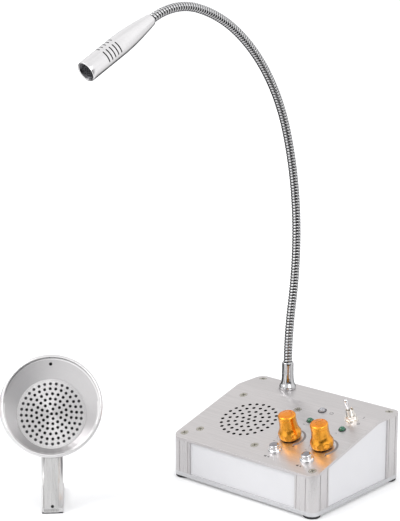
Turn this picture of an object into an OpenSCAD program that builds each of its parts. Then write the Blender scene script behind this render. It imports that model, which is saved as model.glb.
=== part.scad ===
// Teller window intercom: a sloped desk case with a loudspeaker, two volume knobs, two mute
// buttons and a toggle switch, a gooseneck microphone, and a separate round outside station.
// Millimetres. X runs to the user's right, Y away from the user, Z up.
// The origin is the middle of the case's footprint, on the counter.

/* [Case] */
// Width of the case
case_w = 130; // [124:1:150]
// Depth of the case
case_d = 104; // [102:1:124]
// Radius of the upright corners
corner_r = 6; // [4:0.5:7]
// Height of the rubber feet that shows
foot_h = 2; // [1.5:0.5:6]
// Diameter of a rubber foot
foot_d = 12.4; // [9:0.2:12.6]
// Thickness of the bottom plate
bottom_t = 3; // [2:0.5:5]
// Thickness of the top panel
panel_t = 2; // [1.8:0.1:3]
// Height of the panel's underside over the bottom plate's, at the front
front_h = 27.4; // [26:0.2:34]
// The same height along the rear
rear_h = 48.2; // [44:0.2:56]
// Depth of the level strip along the rear
rear_d = 28; // [26:0.5:30]
// Radius of the panel's bend, inside
bend_r = 8; // [3:0.5:10]

/* [Posts and plates] */
// Width of a corner post on each face
post_w = 17; // [15:0.5:20]
// How far a plate lies back from a post's face
plate_in = 1.2; // [0.8:0.1:2]
// Thickness of the plates between the posts
plate_t = 2; // [1.2:0.1:3]
// Depth of the slots that hold the plates
slot_depth = 4; // [2:0.5:6]
// Play of a plate in its slot
slot_clear = 0.1; // [0.05:0.05:0.2]
// Post wall behind the slot
slot_wall = 2.3; // [1.5:0.1:3]
// Width of a flute in a post's face
flute_w = 0.8; // [0.4:0.1:1.2]
// Depth of a flute
flute_depth = 0.4; // [0.2:0.1:0.6]

/* [Screws] */
// Distance of the corner screws from both faces
screw_in = 6.4; // [6.3:0.1:7.5]
// Diameter of the screws' thread
screw_d = 3; // [2.5:0.1:3.5]
// Diameter of a countersunk head
head_d = 5.8; // [5:0.1:6.4]
// Length of a panel screw
screw_len = 10; // [8:0.5:14]
// Play round a screw's thread
screw_clear = 0.05; // [0.02:0.01:0.1]

/* [Loudspeaker] */
// Middle of the grille across, as a share of the case's width
grille_across = -0.194; // [-0.207:0.001:-0.185]
// Middle of the grille up the slope, as a share of the slope
grille_up = 0.523; // [0.51:0.001:0.555]
// Diameter of a grille hole
grille_hole_d = 2.6; // [1.6:0.1:3]
// Distance between the rings of holes
grille_pitch = 5.1; // [4.8:0.05:5.2]
// Number of rings round the middle hole
grille_rings = 4; // [1:1:4]
// Half the distance between two speaker screws
speaker_screw = 25.7; // [25:0.1:26.4]
// Diameter of the speaker's flange
speaker_d = 58; // [54:0.5:60]
// Depth of the speaker's basket
basket_h = 13; // [10:0.5:15]
// Diameter of the speaker's magnet
magnet_d = 30; // [24:1:34]
// Thickness of the magnet
magnet_h = 7; // [5:0.5:8]

/* [Controls] */
// Left column of controls from the middle, as a share of the case's width
left_across = 0.143; // [0.132:0.001:0.15]
// Right column of controls, likewise
right_across = 0.3615; // [0.347:0.0005:0.369]
// Knobs up the slope, as a share of the slope
knob_up = 0.438; // [0.42:0.001:0.465]
// Widest diameter of a knob
knob_d = 16.8; // [15:0.2:18]
// Diameter of a knob's top
knob_top_d = 13; // [12:0.2:14]
// Height of a knob's top over the panel
knob_h = 19.4; // [17:0.2:22]
// Gap under a knob
knob_gap = 0.7; // [0.4:0.1:1]
// Diameter of a knob's shaft
shaft_d = 6; // [5.6:0.1:6]
// Diameter of a potentiometer's bushing
bushing_d = 7; // [6.9:0.1:7.4]
// Diameter of a potentiometer's body
pot_d = 16.5; // [15:0.5:18]
// Running clearance of a turning or sliding fit
run_clear = 0.05; // [0.02:0.01:0.08]
// Buttons up the slope, as a share of the slope
button_up = 0.203; // [0.191:0.001:0.222]
// Diameter of a button's cap
button_d = 7.2; // [6.8:0.1:7.4]
// Height of a cap's top over the panel
button_h = 5.4; // [4.8:0.1:6.5]
// Travel of a button
button_travel = 1.6; // [1:0.1:2]
// Diameter of the ring round a button
bezel_d = 10.2; // [9.8:0.1:11]
// Height of the ring
bezel_h = 2.2; // [1.5:0.1:2.8]
// Toggle switch from the middle, as a share of the case's width
toggle_across = 0.346; // [0.325:0.001:0.36]
// Toggle switch in front of the panel's bend
toggle_in = 6.6; // [6.6:0.1:8]
// Length of the lever above its pivot
lever_len = 14.6; // [11:0.2:18]
// Tilt of the lever each way
lever_tilt = 12; // [8:1:13]
// Diameter of the switch's bushing
toggle_d = 6; // [5.8:0.1:6.4]
// Height of the switch's bushing over the panel
toggle_h = 8.4; // [7.4:0.2:10]
// Lamps up the slope, as a share of the slope
lamp_up = 0.7385; // [0.724:0.0005:0.76]
// Power lamp in front of the panel's bend
power_lamp_in = 5.7; // [5:0.1:7.4]
// Diameter of a lamp
lamp_d = 5; // [4:0.1:5.6]

/* [Gooseneck] */
// Neck from the case's middle
neck_x = -30; // [-36:0.5:-26]
// Neck in front of the case's rear face
neck_in = 12.5; // [12:0.5:14]
// Turn of the neck's plane from straight ahead
neck_dir = 5; // [0:1:12]
// Height of the ferrule over the panel
ferrule_h = 20.8; // [16:0.2:26]
// Diameter of the ferrule's foot
ferrule_d = 13; // [12:0.2:14]
// Diameter of the neck over its ribs
neck_d = 6.4; // [6:0.1:6.8]
// Depth of the grooves between the ribs
rib_depth = 0.55; // [0.3:0.05:0.7]
// Diameter of the neck's bore
neck_bore = 3; // [2:0.1:3.4]
// Length of one stretch of the neck
link_len = 44.5; // [36:0.1:50]
// Ribs on one stretch
link_ribs = 20; // [10:1:25]
// Gap between two stretches, at the bottom of a groove
link_gap = 0.6; // [0.5:0.05:0.8]

/* [Microphone] */
// Length of the microphone
mic_len = 63.5; // [58:0.5:75]
// Diameter at the front
mic_d = 14.2; // [13:0.1:16]
// Diameter at the neck
mic_tail_d = 8; // [7.6:0.1:9]
// Length of the straight front stretch
mic_straight = 30; // [29:0.5:34]
// First ring slot from the front
mic_slot_from = 15.5; // [13:0.5:17]
// Turn of the ring slots round the microphone
mic_slot_turn = 21; // [0:1:89]
// Distance between the ring slots
mic_slot_pitch = 2.9; // [2.2:0.1:3]
// Wall of the microphone's tube
mic_wall = 1.2; // [0.9:0.1:1.5]

/* [Outside station] */
// Station from the case's middle
station_x = -76.5; // [-90:0.5:-70]
// Station in front of the case's middle
station_y = -162.5; // [-190:0.5:-120]
// Turn of the station
station_turn = 45; // [0:1:60]
// Lean of the stem
station_lean = 20; // [10:1:24]
// Middle of the dish along the stem
station_h = 75.5; // [70:0.5:95]
// Diameter of the dish
dish_d = 71.5; // [68:0.5:74]
// Depth of the dish, without its cover
dish_h = 20; // [19.5:0.5:26]
// Depth of the grille under the rim
cone_h = 8; // [7:0.5:9]
// Diameter of the station's grille
disc_d = 48.6; // [46:0.2:50]
// How far the grille lies below the dish's middle
disc_drop = 5.2; // [3.5:0.1:5.4]
// Diameter of a hole in the station's grille
disc_hole_d = 2.1; // [1.6:0.1:2.2]
// Distance between the rings of holes
disc_pitch = 3.5; // [3.2:0.05:3.6]
// Width of the stem
stem_w = 14.6; // [13:0.2:18]
// Depth of the stem
stem_t = 8; // [6:0.5:10]
// Length of the station's foot
foot_len = 46; // [40:1:60]
// Thickness of the station's foot
station_foot_t = 3; // [2:0.5:5]
// Diameter of the holes in the foot
foot_hole_d = 4.5; // [3.5:0.1:5.5]
// Thickness of the dish's back cover
cover_t = 2.4; // [2:0.1:3]
// Shank diameter of the cover's screws
cover_screw_d = 2; // [1.8:0.1:2.4]
// Head diameter of the cover's screws
cover_head_d = 4; // [3.6:0.1:4.2]
// Length of the cover's screws
cover_screw_len = 8; // [6:0.5:8]

/* [Hidden] */
$fn = 64;

// Case
tiny = 0.01;
bottom_z = foot_h;
floor_z = foot_h + bottom_t;
front_z = foot_h + front_h;
rear_z = foot_h + rear_h;
front_y = -case_d / 2;
crease_y = case_d / 2 - rear_d;
slope = atan((rear_h - front_h) / (case_d - rear_d));
slope_len = (case_d - rear_d) / cos(slope);
bend_at = [crease_y + bend_r * tan(slope / 2), rear_z - bend_r];
bend_steps = 8;
slot_w = plate_t + 2 * slot_clear;
post_arm = plate_in + plate_t + slot_wall;
boss_r = screw_d / 2 + 2.6;
screw_r = screw_d / 2;
pilot_r = screw_r + screw_clear;
head_rim = 0.3;
grille_u = grille_across * case_w;
grille_v = grille_up * slope_len;
column_left = left_across * case_w;
column_right = right_across * case_w;
columns = [column_left, column_right];

// Knobs and switches
knob_v = knob_up * slope_len;
button_v = button_up * slope_len;
lamp_v = lamp_up * slope_len;
toggle_u = toggle_across * case_w;
toggle_v = slope_len - toggle_in;
power_lamp_v = slope_len - power_lamp_in;
shaft_r = shaft_d / 2;
shaft_top = knob_h - 4;
pot_h = 8;
wiper_t = 1;
wiper_r = pot_d / 2 - 2.2;
bushing_h = 5;
nut_t = 2;
knob_skirt_h = 5;
knob_waist_h = 10.5;
bezel_r = bezel_d / 2;
barrel_r = bezel_r - 0.9;
barrel_len = 7;
cap_r = button_d / 2;
cap_bore_r = cap_r + 0.08;
plunger_r = 1.5;
plunger_len = 10.6;
switch_h = 15;
pivot_h = 4;
toggle_bore_r = toggle_d / 2 - 0.5;
ball_r = toggle_bore_r - run_clear;
lamp_r = lamp_d / 2;

// Gooseneck: degrees that each stretch turns towards the user
neck_turns = [-9, 8, 9, 9, 16.5, 18, 23.5, 43];
neck_y = case_d / 2 - neck_in;
neck_top = rear_z + panel_t + ferrule_h;
neck_r = neck_d / 2;
core_r = neck_r - rib_depth;
bore_r = neck_bore / 2;
tube_sides = 8;
bore_rings = 5;
ferrule_seat = 7;
tail_len = 5;
tail_clear = 0.05;

// Microphone
mic_r = mic_d / 2;
mic_tail_r = mic_tail_d / 2;
mic_bore_r = mic_r - mic_wall;
mic_slots = 5;
mic_slot_w = 0.9;
mic_slot_arc = 64;
mic_grille_in = 1.4;
mic_grille_t = 0.8;

// Outside station
dish_r = dish_d / 2;
lip = 2.2;
disc_r = disc_d / 2;
disc_t = 1.2;
seat_clear = 0.05;
pocket_r = disc_r - 0.9;
dish_back_r = pocket_r + disc_drop + 3.6;
cover_screw_r = cover_screw_d / 2;
mic_port_d = 2.3;
mic_port_y = dish_r - lip - 4.2;
port_cap_r = 2;
port_cap_in = 5;
pad_t = 1;
stem_front = 4;
chamfer = 3.2;

// ---------- places ----------

// Moves to the sloped stretch: x across, y up the slope, z out of its top face
module on_slope(u, v, h = 0) {
    translate([u, front_y, front_z + panel_t / cos(slope)])
        rotate([slope, 0, 0])
            translate([0, v, h])
                children();
}

// Moves to the level strip's top face
module on_level(x, y) {
    translate([x, y, rear_z + panel_t]) children();
}

// The four screws at the panel's corners, each square to the face that it sits in
module at_corners(front = true, rear = true) {
    for (side = [-1, 1]) {
        x = side * (case_w / 2 - screw_in);
        if (front) on_slope(x, screw_in / cos(slope)) children();
        if (rear) on_level(x, case_d / 2 - screw_in) children();
    }
}

module at_feet() {
    for (side = [-1, 1], end = [-1, 1])
        translate([side * (case_w / 2 - screw_in), end * (case_d / 2 - screw_in), 0])
            children();
}

module at_speaker_screws() {
    for (side = [-1, 1], end = [-1, 1])
        on_slope(grille_u + side * speaker_screw, grille_v + end * speaker_screw) children();
}

// ---------- shared shapes ----------

// Rounded rectangle with true arcs at its corners
module rounded_rect(w, d, r) {
    square([w - 2 * r, d], center = true);
    square([w, d - 2 * r], center = true);
    for (side = [-1, 1], end = [-1, 1])
        translate([side * (w / 2 - r), end * (d / 2 - r)]) circle(r);
}

// The panel's bend, seen from the side, at a distance t over its underside
function bend_arc(t) =
    [for (k = [0 : bend_steps])
        let (a = slope * (1 - k / bend_steps))
        bend_at + (bend_r + t) * [-sin(a), cos(a)]];

// The whole surface at that distance, from past the front edge to past the rear one
function panel_line(t) =
    let (bend = bend_arc(t), front = front_y - 5)
    concat(
        [[front, bend[0][1] - (bend[0][0] - front) * tan(slope)]],
        bend,
        [[case_d / 2 + 5, rear_z + t]]
    );

function backwards(list) = [for (i = [len(list) - 1 : -1 : 0]) list[i]];

// Everything below the panel
module below_panel() {
    polygon(concat(panel_line(0), [[case_d / 2 + 5, 0], [front_y - 5, 0]]));
}

// Turns a side view into a solid across the case
module across(w) {
    rotate([90, 0, 90]) translate([0, 0, -w / 2]) linear_extrude(w) children();
}

// A screw with a countersunk cross-slotted head, its top at z = 0
module countersunk(len, head = head_d / 2, r = screw_r) {
    slot = [head * 1.15, 0.7, 1.1];
    difference() {
        rotate_extrude()
            polygon([
                [0, 0], [head, 0], [head, -head_rim], [r, -head_rim - head + r],
                [r, -len], [0, -len]
            ]);
        for (turn = [0, 90])
            rotate([0, 0, turn + 45])
                translate([-slot[0] / 2, -slot[1] / 2, -slot[2]])
                    cube([slot[0], slot[1], slot[2] + 1]);
    }
}

// The hole that a countersunk screw passes through
module countersunk_hole(depth, head = head_d / 2, r = screw_r, play = 0.1) {
    rotate_extrude()
        polygon([
            [0, 1], [head + play, 1], [head + play, -head_rim],
            [r + play, -head_rim - head + r], [r + play, -depth], [0, -depth]
        ]);
}

module hex_nut(across_flats, h, hole_r) {
    difference() {
        cylinder(r = across_flats / 2 / cos(30), h = h, $fn = 6);
        translate([0, 0, -1]) cylinder(r = hole_r, h = h + 2);
    }
}

// Rings of holes round one in the middle, with counts[i] holes on ring i + 1
module hole_rings(counts, pitch, d, depth) {
    cylinder(d = d, h = depth, center = true, $fn = 24);
    for (ring = [0 : len(counts) - 1])
        for (i = [0 : counts[ring] - 1])
            rotate([0, 0, 360 * i / counts[ring] + 7 * ring])
                translate([(ring + 1) * pitch, 0, 0])
                    cylinder(d = d, h = depth, center = true, $fn = 24);
}

// ---------- case ----------

module top_panel() {
    color("gainsboro") difference() {
        intersection() {
            across(case_w + 2)
                polygon(concat(panel_line(panel_t), backwards(panel_line(0))));
            linear_extrude(rear_z + panel_t + 1) rounded_rect(case_w, case_d, corner_r);
        }
        on_slope(grille_u, grille_v, -panel_t / 2)
            hole_rings([for (ring = [1 : grille_rings]) 6 * ring], grille_pitch,
                       grille_hole_d, panel_t + 2);
        at_corners() countersunk_hole(panel_t + 1);
        at_speaker_screws() countersunk_hole(panel_t + 1);
        for (u = columns) {
            on_slope(u, knob_v, -panel_t - 1)
                cylinder(r = bushing_d / 2 + run_clear, h = panel_t + 2);
            on_slope(u, button_v, -panel_t - 1)
                cylinder(r = barrel_r + run_clear, h = panel_t + 2);
            on_slope(u, lamp_v, -panel_t - 1)
                cylinder(r = lamp_r + run_clear, h = panel_t + 2);
        }
        on_slope(column_left, power_lamp_v, -panel_t - 1)
            cylinder(r = lamp_r + run_clear, h = panel_t + 2);
        on_slope(toggle_u, toggle_v, -panel_t - 1)
            cylinder(r = toggle_d / 2 + run_clear, h = panel_t + 2);
        on_level(neck_x, neck_y)
            translate([0, 0, -panel_t - 1])
                cylinder(r = neck_r + 0.9 + run_clear, h = panel_t + 2);
    }
}

module bottom_plate() {
    color("silver") translate([0, 0, bottom_z]) difference() {
        linear_extrude(bottom_t) rounded_rect(case_w, case_d, corner_r);
        at_feet() translate([0, 0, -1]) cylinder(r = screw_r + 0.1, h = bottom_t + 2);
        for (x = board_x, y = board_y)
            translate([x, y, -1]) cylinder(r = peg_r + run_clear, h = bottom_t + 2);
    }
}

// One corner post, its outer corner at the origin and its arms along +X and +Y
module post_section() {
    flutes = [corner_r + 1.2, post_w - 1.8];
    difference() {
        union() {
            translate([corner_r, corner_r]) circle(corner_r);
            translate([corner_r, 0]) square([post_w - corner_r, post_arm]);
            translate([0, corner_r]) square([post_arm, post_w - corner_r]);
            translate([screw_in, screw_in]) circle(boss_r);
        }
        translate([post_w - slot_depth, plate_in - slot_clear])
            square([slot_depth + 1, slot_w]);
        translate([plate_in - slot_clear, post_w - slot_depth])
            square([slot_w, slot_depth + 1]);
        for (at = flutes) {
            translate([at - flute_w / 2, -1]) square([flute_w, 1 + flute_depth]);
            translate([-1, at - flute_w / 2]) square([1 + flute_depth, flute_w]);
        }
    }
}

module posts(end) {
    foot_bite = screw_len - bottom_t - foot_h + 3;
    color("lightgray") difference() {
        intersection() {
            for (side = [-1, 1])
                translate([side * case_w / 2, end * case_d / 2, floor_z])
                    mirror([side > 0 ? 1 : 0, 0, 0])
                        mirror([0, end > 0 ? 1 : 0, 0])
                            linear_extrude(rear_z) post_section();
            across(case_w + 2) below_panel();
        }
        at_corners() translate([0, 0, -screw_len - 0.5])
            cylinder(r = pilot_r, h = screw_len + 1);
        at_feet() translate([0, 0, floor_z - 1]) cylinder(r = pilot_r, h = foot_bite);
    }
}

module front_posts() { posts(-1); }
module rear_posts() { posts(1); }

// A plate across the front or the rear, cut off by the panel above it
module cross_plate(end) {
    w = case_w - 2 * (post_w - slot_depth) - 2 * slot_clear;
    y = end * (case_d / 2 - plate_in - plate_t / 2);
    intersection() {
        translate([-w / 2, y - plate_t / 2, floor_z]) cube([w, plate_t, rear_z]);
        across(case_w + 2) below_panel();
    }
}

module side_plate(side) {
    d = case_d - 2 * (post_w - slot_depth) - 2 * slot_clear;
    x = side * (case_w / 2 - plate_in - plate_t / 2);
    intersection() {
        translate([x - plate_t / 2, -d / 2, floor_z]) cube([plate_t, d, rear_z]);
        across(case_w + 2) below_panel();
    }
}

module front_plate() { color("white") cross_plate(-1); }
module left_plate() { color("white") side_plate(-1); }
module right_plate() { color("white") side_plate(1); }

jack_z = 20;
power_jack_x = -22;
station_jack_x = 22;
jack_barrel_r = 4;
rear_face = case_d / 2 - plate_in;

module at_jack(x) {
    translate([x, rear_face, jack_z]) rotate([-90, 0, 0]) children();
}

module rear_plate() {
    color("white") difference() {
        cross_plate(1);
        for (x = [power_jack_x, station_jack_x])
            at_jack(x) translate([0, 0, -plate_t - 1])
                cylinder(r = jack_barrel_r + run_clear, h = plate_t + 2);
    }
}

foot_recess = 1.2;
foot_head_r = 2.8;

module rubber_feet() {
    r = foot_d / 2;
    color("#1c1c1c") at_feet() rotate_extrude()
        polygon([
            [foot_head_r + 0.2, 0], [r - 0.6, 0], [r, 0.6], [r, foot_h],
            [screw_r + 0.1, foot_h], [screw_r + 0.1, foot_recess],
            [foot_head_r + 0.2, foot_recess]
        ]);
}

module foot_screws() {
    top = foot_recess + screw_len;
    slot = [3.4, 0.7, 0.6];
    color("dimgray") at_feet() difference() {
        union() {
            translate([0, 0, 0.3]) cylinder(r = foot_head_r, h = foot_recess - 0.3);
            translate([0, 0, 0.3]) cylinder(r = screw_r, h = top - 0.3);
        }
        for (turn = [0, 90])
            rotate([0, 0, turn])
                translate([-slot[0] / 2, -slot[1] / 2, 0]) cube(slot);
    }
}

module panel_screws() {
    color("silver") at_corners() countersunk(screw_len);
}

// ---------- loudspeaker ----------

flange_t = 1;
speaker_nut_t = 2.4;
cone_in_r = 7.5;

module at_speaker() { on_slope(grille_u, grille_v, -panel_t) children(); }

module speaker_frame() {
    r = speaker_d / 2;
    back_r = magnet_d / 2 - 2;
    ear_r = 3.2;
    windows = 4;
    color("dimgray") difference() {
        at_speaker() difference() {
            union() {
                rotate_extrude()
                    polygon([
                        [r - 3, 0], [r, 0], [r, -flange_t], [r - 3, -flange_t - 1],
                        [back_r, -basket_h], [cone_in_r + 1, -basket_h],
                        [cone_in_r + 1, -basket_h + 1], [back_r - 0.5, -basket_h + 1],
                        [r - 4, -flange_t - 1]
                    ]);
                for (side = [-1, 1], end = [-1, 1])
                    translate([side * speaker_screw, end * speaker_screw, -flange_t])
                        cylinder(r = ear_r, h = flange_t);
                for (turn = [45 : 90 : 315])
                    rotate([0, 0, turn])
                        translate([r - 2, -ear_r, -flange_t])
                            cube([speaker_screw * sqrt(2) - r + 2, 2 * ear_r, flange_t]);
            }
            for (i = [0 : windows - 1])
                rotate([0, 0, i * 360 / windows])
                    translate([back_r + 2, -6, -basket_h + 2])
                        cube([r - back_r, 12, basket_h - flange_t - 4.5]);
        }
        at_speaker_screws() translate([0, 0, -panel_t - flange_t - 1])
            cylinder(r = screw_r + 0.1, h = flange_t + 2);
    }
}

// Surround, paper cone and dust cap
module speaker_cone() {
    r = speaker_d / 2 - 4.6;
    depth = basket_h - 4;
    color("#26262a") at_speaker() rotate_extrude()
        polygon([
            [r, -1.2], [r, -1.9], [r - 3, -1.2], [r - 5.2, -2.4],
            [cone_in_r, -depth], [0, -depth + 2.2], [0, -depth + 2.8],
            [cone_in_r, -depth + 1], [r - 5, -1.6], [r - 3, -0.5]
        ]);
}

module speaker_magnet() {
    r = magnet_d / 2;
    color("#3a3a3e") at_speaker() translate([0, 0, -basket_h - magnet_h])
        rotate_extrude()
            polygon([
                [0, 0], [r - 1.5, 0], [r - 1.5, 1.4], [r, 1.4], [r, magnet_h],
                [cone_in_r, magnet_h], [cone_in_r, 3], [0, 3]
            ]);
}

module speaker_screws() {
    color("silver") at_speaker_screws()
        countersunk(panel_t + flange_t + speaker_nut_t + 0.6);
}

module speaker_nuts() {
    color("darkgray") at_speaker_screws()
        translate([0, 0, -panel_t - flange_t - speaker_nut_t])
            hex_nut(5.5, speaker_nut_t, pilot_r);
}

// ---------- circuit board ----------

board_w = case_w * 0.49;
board_d = case_d * 0.6;
board_t = 1.6;
board_mid = [case_w * 0.185, -2];
part_pitch = board_w / 4.9;
chip = [8, 6, 1.6];
sink = [30, 12, 14];
fin_t = 1.6;
can_r = 4;
can_h = 12;
peg_h = 6;
peg_r = 1.6;
board_x = [board_mid[0] - board_w / 2 + 4, board_mid[0] + board_w / 2 - 4];
board_y = [board_mid[1] - board_d / 2 + 4, board_mid[1] + board_d / 2 - 4];
board_z = floor_z + peg_h;
board_top = board_z + board_t;

module circuit_board() {
    color("darkgreen") difference() {
        union() {
            translate([board_mid[0] - board_w / 2, board_mid[1] - board_d / 2, board_z])
                cube([board_w, board_d, board_t]);
            for (i = [0 : 2])
                translate([board_mid[0] + (i - 1.5) * part_pitch, board_mid[1] - 2 * chip[0], board_top])
                    cube(chip);
        }
        for (x = board_x, y = board_y)
            translate([x, y, board_z - 1]) cylinder(r = peg_r + run_clear, h = board_t + 2);
    }
}

module board_standoffs() {
    color("ivory") for (x = board_x, y = board_y) translate([x, y, 0]) {
        translate([0, 0, floor_z]) cylinder(r = 3, h = peg_h);
        translate([0, 0, bottom_z + 0.4]) cylinder(r = peg_r, h = bottom_t - 0.4 + tiny);
        translate([0, 0, board_z - tiny]) cylinder(r = peg_r, h = board_t + 1);
    }
}

// Extruded cooler for the amplifier, fins upright
module heat_sink() {
    fins = 6;
    gap = (sink[0] - fin_t) / (fins - 1) - fin_t;
    color("#2b2d30") translate([board_mid[0] - sink[0] / 2, board_mid[1] + sink[1], board_top])
        difference() {
            cube(sink);
            for (i = [0 : fins - 2])
                translate([fin_t + i * (gap + fin_t), 3, -1]) cube([gap, sink[1], sink[2] + 2]);
        }
}

module capacitors() {
    color("#20264a") for (i = [0 : 2])
        translate([board_mid[0] + (i - 1.6) * part_pitch, board_mid[1] + can_r / 2, board_top])
            rotate_extrude()
                polygon([
                    [0, 0], [can_r, 0], [can_r, can_h - 0.6], [can_r - 0.5, can_h],
                    [can_r - 1.2, can_h], [can_r - 1.4, can_h - 0.3], [0, can_h - 0.3]
                ]);
}

// ---------- volume controls ----------

module at_pot(u) { on_slope(u, knob_v) children(); }

module pot_bodies() {
    r = pot_d / 2;
    color("silver") for (u = columns) at_pot(u) rotate_extrude()
        polygon([
            [0, -panel_t - pot_h], [r, -panel_t - pot_h], [r, -panel_t],
            [bushing_d / 2, -panel_t], [bushing_d / 2, bushing_h],
            [shaft_r + run_clear, bushing_h], [shaft_r + run_clear, -panel_t - 3],
            [wiper_r + 0.4, -panel_t - 3], [wiper_r + 0.4, -panel_t - pot_h + 2],
            [0, -panel_t - pot_h + 2]
        ]);
}

module pot_nuts() {
    color("silver") for (u = columns)
        at_pot(u) hex_nut(bushing_d + 3, nut_t, bushing_d / 2 + run_clear);
}

module pot_shaft(u) {
    wiper_z = -panel_t - 3.4;
    color("darkgray") at_pot(u) difference() {
        rotate_extrude()
            polygon([
                [0, wiper_z - wiper_t], [wiper_r, wiper_z - wiper_t], [wiper_r, wiper_z],
                [shaft_r, wiper_z], [shaft_r, shaft_top - 0.5], [shaft_r - 0.5, shaft_top],
                [0, shaft_top]
            ]);
        translate([-shaft_r, -0.4, shaft_top - 6]) cube([shaft_d, 0.8, 7]);
    }
}

module pot_shaft_left() { pot_shaft(column_left); }
module pot_shaft_right() { pot_shaft(column_right); }

// Half the knob's diameter at height h: a straight top, a drawn-in waist and a wide skirt
function knob_r(h) =
    let (top = knob_top_d / 2, skirt = knob_d / 2,
         fall = min(1, max(0, (knob_waist_h - h) / (knob_waist_h - knob_skirt_h))))
    top - 0.25 * sin(180 * min(1, max(0, (knob_h - 2 - h) / (knob_h - 2 - knob_waist_h))))
        + (skirt - top) * (1 - cos(90 * fall));

module volume_knob(u) {
    rings = 14;
    base = knob_gap;
    r = knob_d / 2;
    hollow_r = 6.6;
    color("#f2a125") at_pot(u) difference() {
        rotate_extrude()
            polygon(concat(
                [[0, base], [r - 1.1, base], [r - 0.2, base + 1.1], [r, knob_skirt_h]],
                [for (i = [1 : rings])
                    let (h = knob_skirt_h + (knob_h - 1 - knob_skirt_h) * i / rings)
                    [knob_r(h), h]],
                [[knob_top_d / 2 - 0.9, knob_h], [0, knob_h]]
            ));
        // twelve shallow scallops round the skirt
        for (i = [0 : 11])
            rotate([0, 0, 30 * i])
                translate([r + 5.1, 0, base - 1]) cylinder(r = 5.6, h = knob_waist_h);
        translate([0, 0, base - 1]) cylinder(r = hollow_r, h = bushing_h + 1);
        cylinder(r = shaft_r + 0.02, h = shaft_top + 0.2);
        // pointer groove across the rim of the top
        translate([-0.4, knob_top_d / 2 - 3, knob_h - 0.6]) cube([0.8, 4, 1]);
    }
}

module volume_knob_left() { volume_knob(column_left); }
module volume_knob_right() { volume_knob(column_right); }

// ---------- mute buttons ----------

module at_button(u) { on_slope(u, button_v) children(); }

module button_bezels() {
    color("whitesmoke") for (u = columns) at_button(u) rotate_extrude()
        polygon([
            [cap_bore_r, -panel_t - barrel_len + 2], [barrel_r, -panel_t - barrel_len + 2],
            [barrel_r, 0], [bezel_r, 0], [bezel_r, bezel_h - 0.9],
            [bezel_r - 0.3, bezel_h - 0.3], [bezel_r - 0.9, bezel_h], [cap_bore_r, bezel_h]
        ]);
}

module button_switches() {
    half = 5.6;
    color("#222226") for (u = columns) at_button(u) difference() {
        translate([-half, -half, -switch_h]) cube([2 * half, 2 * half, switch_h - panel_t]);
        translate([0, 0, -panel_t - barrel_len + 2 - tiny])
            cylinder(r = barrel_r + run_clear, h = barrel_len);
        translate([0, 0, -panel_t - barrel_len + 0.2])
            cylinder(r = cap_bore_r, h = barrel_len);
        translate([0, 0, -plunger_len - button_travel - 0.6])
            cylinder(r = plunger_r + run_clear, h = plunger_len);
    }
}

module mute_button(u) {
    skirt = -1.6;
    color("#c9c9cc") at_button(u) rotate_extrude()
        polygon([
            [0, -plunger_len], [plunger_r, -plunger_len], [plunger_r, skirt],
            [cap_r, skirt], [cap_r, button_h - 1], [cap_r - 0.3, button_h - 0.4],
            [cap_r - 1, button_h], [0, button_h]
        ]);
}

module mute_button_left() { mute_button(column_left); }
module mute_button_right() { mute_button(column_right); }

// ---------- toggle switch ----------

module at_toggle() { on_slope(toggle_u, toggle_v) children(); }

module toggle_switch() {
    body = [8, 10.6, 10];
    color("silver") at_toggle() difference() {
        union() {
            translate([-body[0] / 2, -body[1] / 2, -panel_t - body[2]]) cube(body);
            translate([0, 0, -panel_t]) cylinder(r = toggle_d / 2, h = panel_t + toggle_h);
        }
        translate([0, 0, 0.4]) cylinder(r = toggle_bore_r, h = toggle_h);
        translate([0, 0, toggle_h - 0.5])
            cylinder(r1 = toggle_bore_r, r2 = toggle_bore_r + 0.3, h = 0.5 + tiny);
    }
}

module toggle_washer() {
    color("silver") at_toggle() difference() {
        union() {
            cylinder(r = 5, h = 0.5);
            translate([4, -1, 0]) cube([2, 2, 0.5]);
        }
        translate([0, 0, -1]) cylinder(r = toggle_d / 2 + run_clear, h = 3);
    }
}

module toggle_nut() {
    color("silver") at_toggle() translate([0, 0, 0.5])
        hex_nut(8, 3.2, toggle_d / 2 + run_clear);
}

module toggle_lever() {
    color("whitesmoke") at_toggle() translate([0, 0, pivot_h]) rotate([lever_tilt, 0, 0]) {
        difference() {
            sphere(r = ball_r);
            translate([0, 0, -ball_r - 1.2]) cube([2 * ball_r, 2 * ball_r, ball_r * 2], center = true);
        }
        rotate_extrude()
            polygon([
                [0, 0], [0.95, 0], [0.95, 4], [1.45, lever_len - 3], [1.5, lever_len - 1],
                [1.1, lever_len - 0.25], [0.5, lever_len], [0, lever_len]
            ]);
    }
}

// ---------- lamps ----------

// A domed lamp with a collar under the panel
module lamp() {
    dome = 1.6;
    rotate_extrude() intersection() {
        union() {
            translate([0, -panel_t - 5]) square([lamp_r, panel_t + 5 + dome - lamp_r + 1.6]);
            translate([0, -panel_t - 1]) square([lamp_r + 0.4, 1]);
            translate([0, dome - lamp_r + 0.9]) circle(lamp_r);
        }
        translate([0, -panel_t - 6]) square([lamp_d, panel_t + 6 + lamp_d]);
    }
}

module power_lamp() { color("#3a3a40") on_slope(column_left, power_lamp_v) lamp(); }
module green_lamps() { color("#1f6b45") for (u = columns) on_slope(u, lamp_v) lamp(); }

// ---------- jacks in the rear plate ----------

jack_body_h = 12;

module jack(hole_r, depth) {
    difference() {
        union() {
            translate([0, 0, -plate_t]) cylinder(r = jack_barrel_r, h = plate_t + 0.6);
            translate([-5.5, -5.5, -plate_t - jack_body_h]) cube([11, 11, jack_body_h]);
        }
        translate([0, 0, 0.6 - depth]) cylinder(r = hole_r, h = depth + 1);
    }
}

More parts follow.
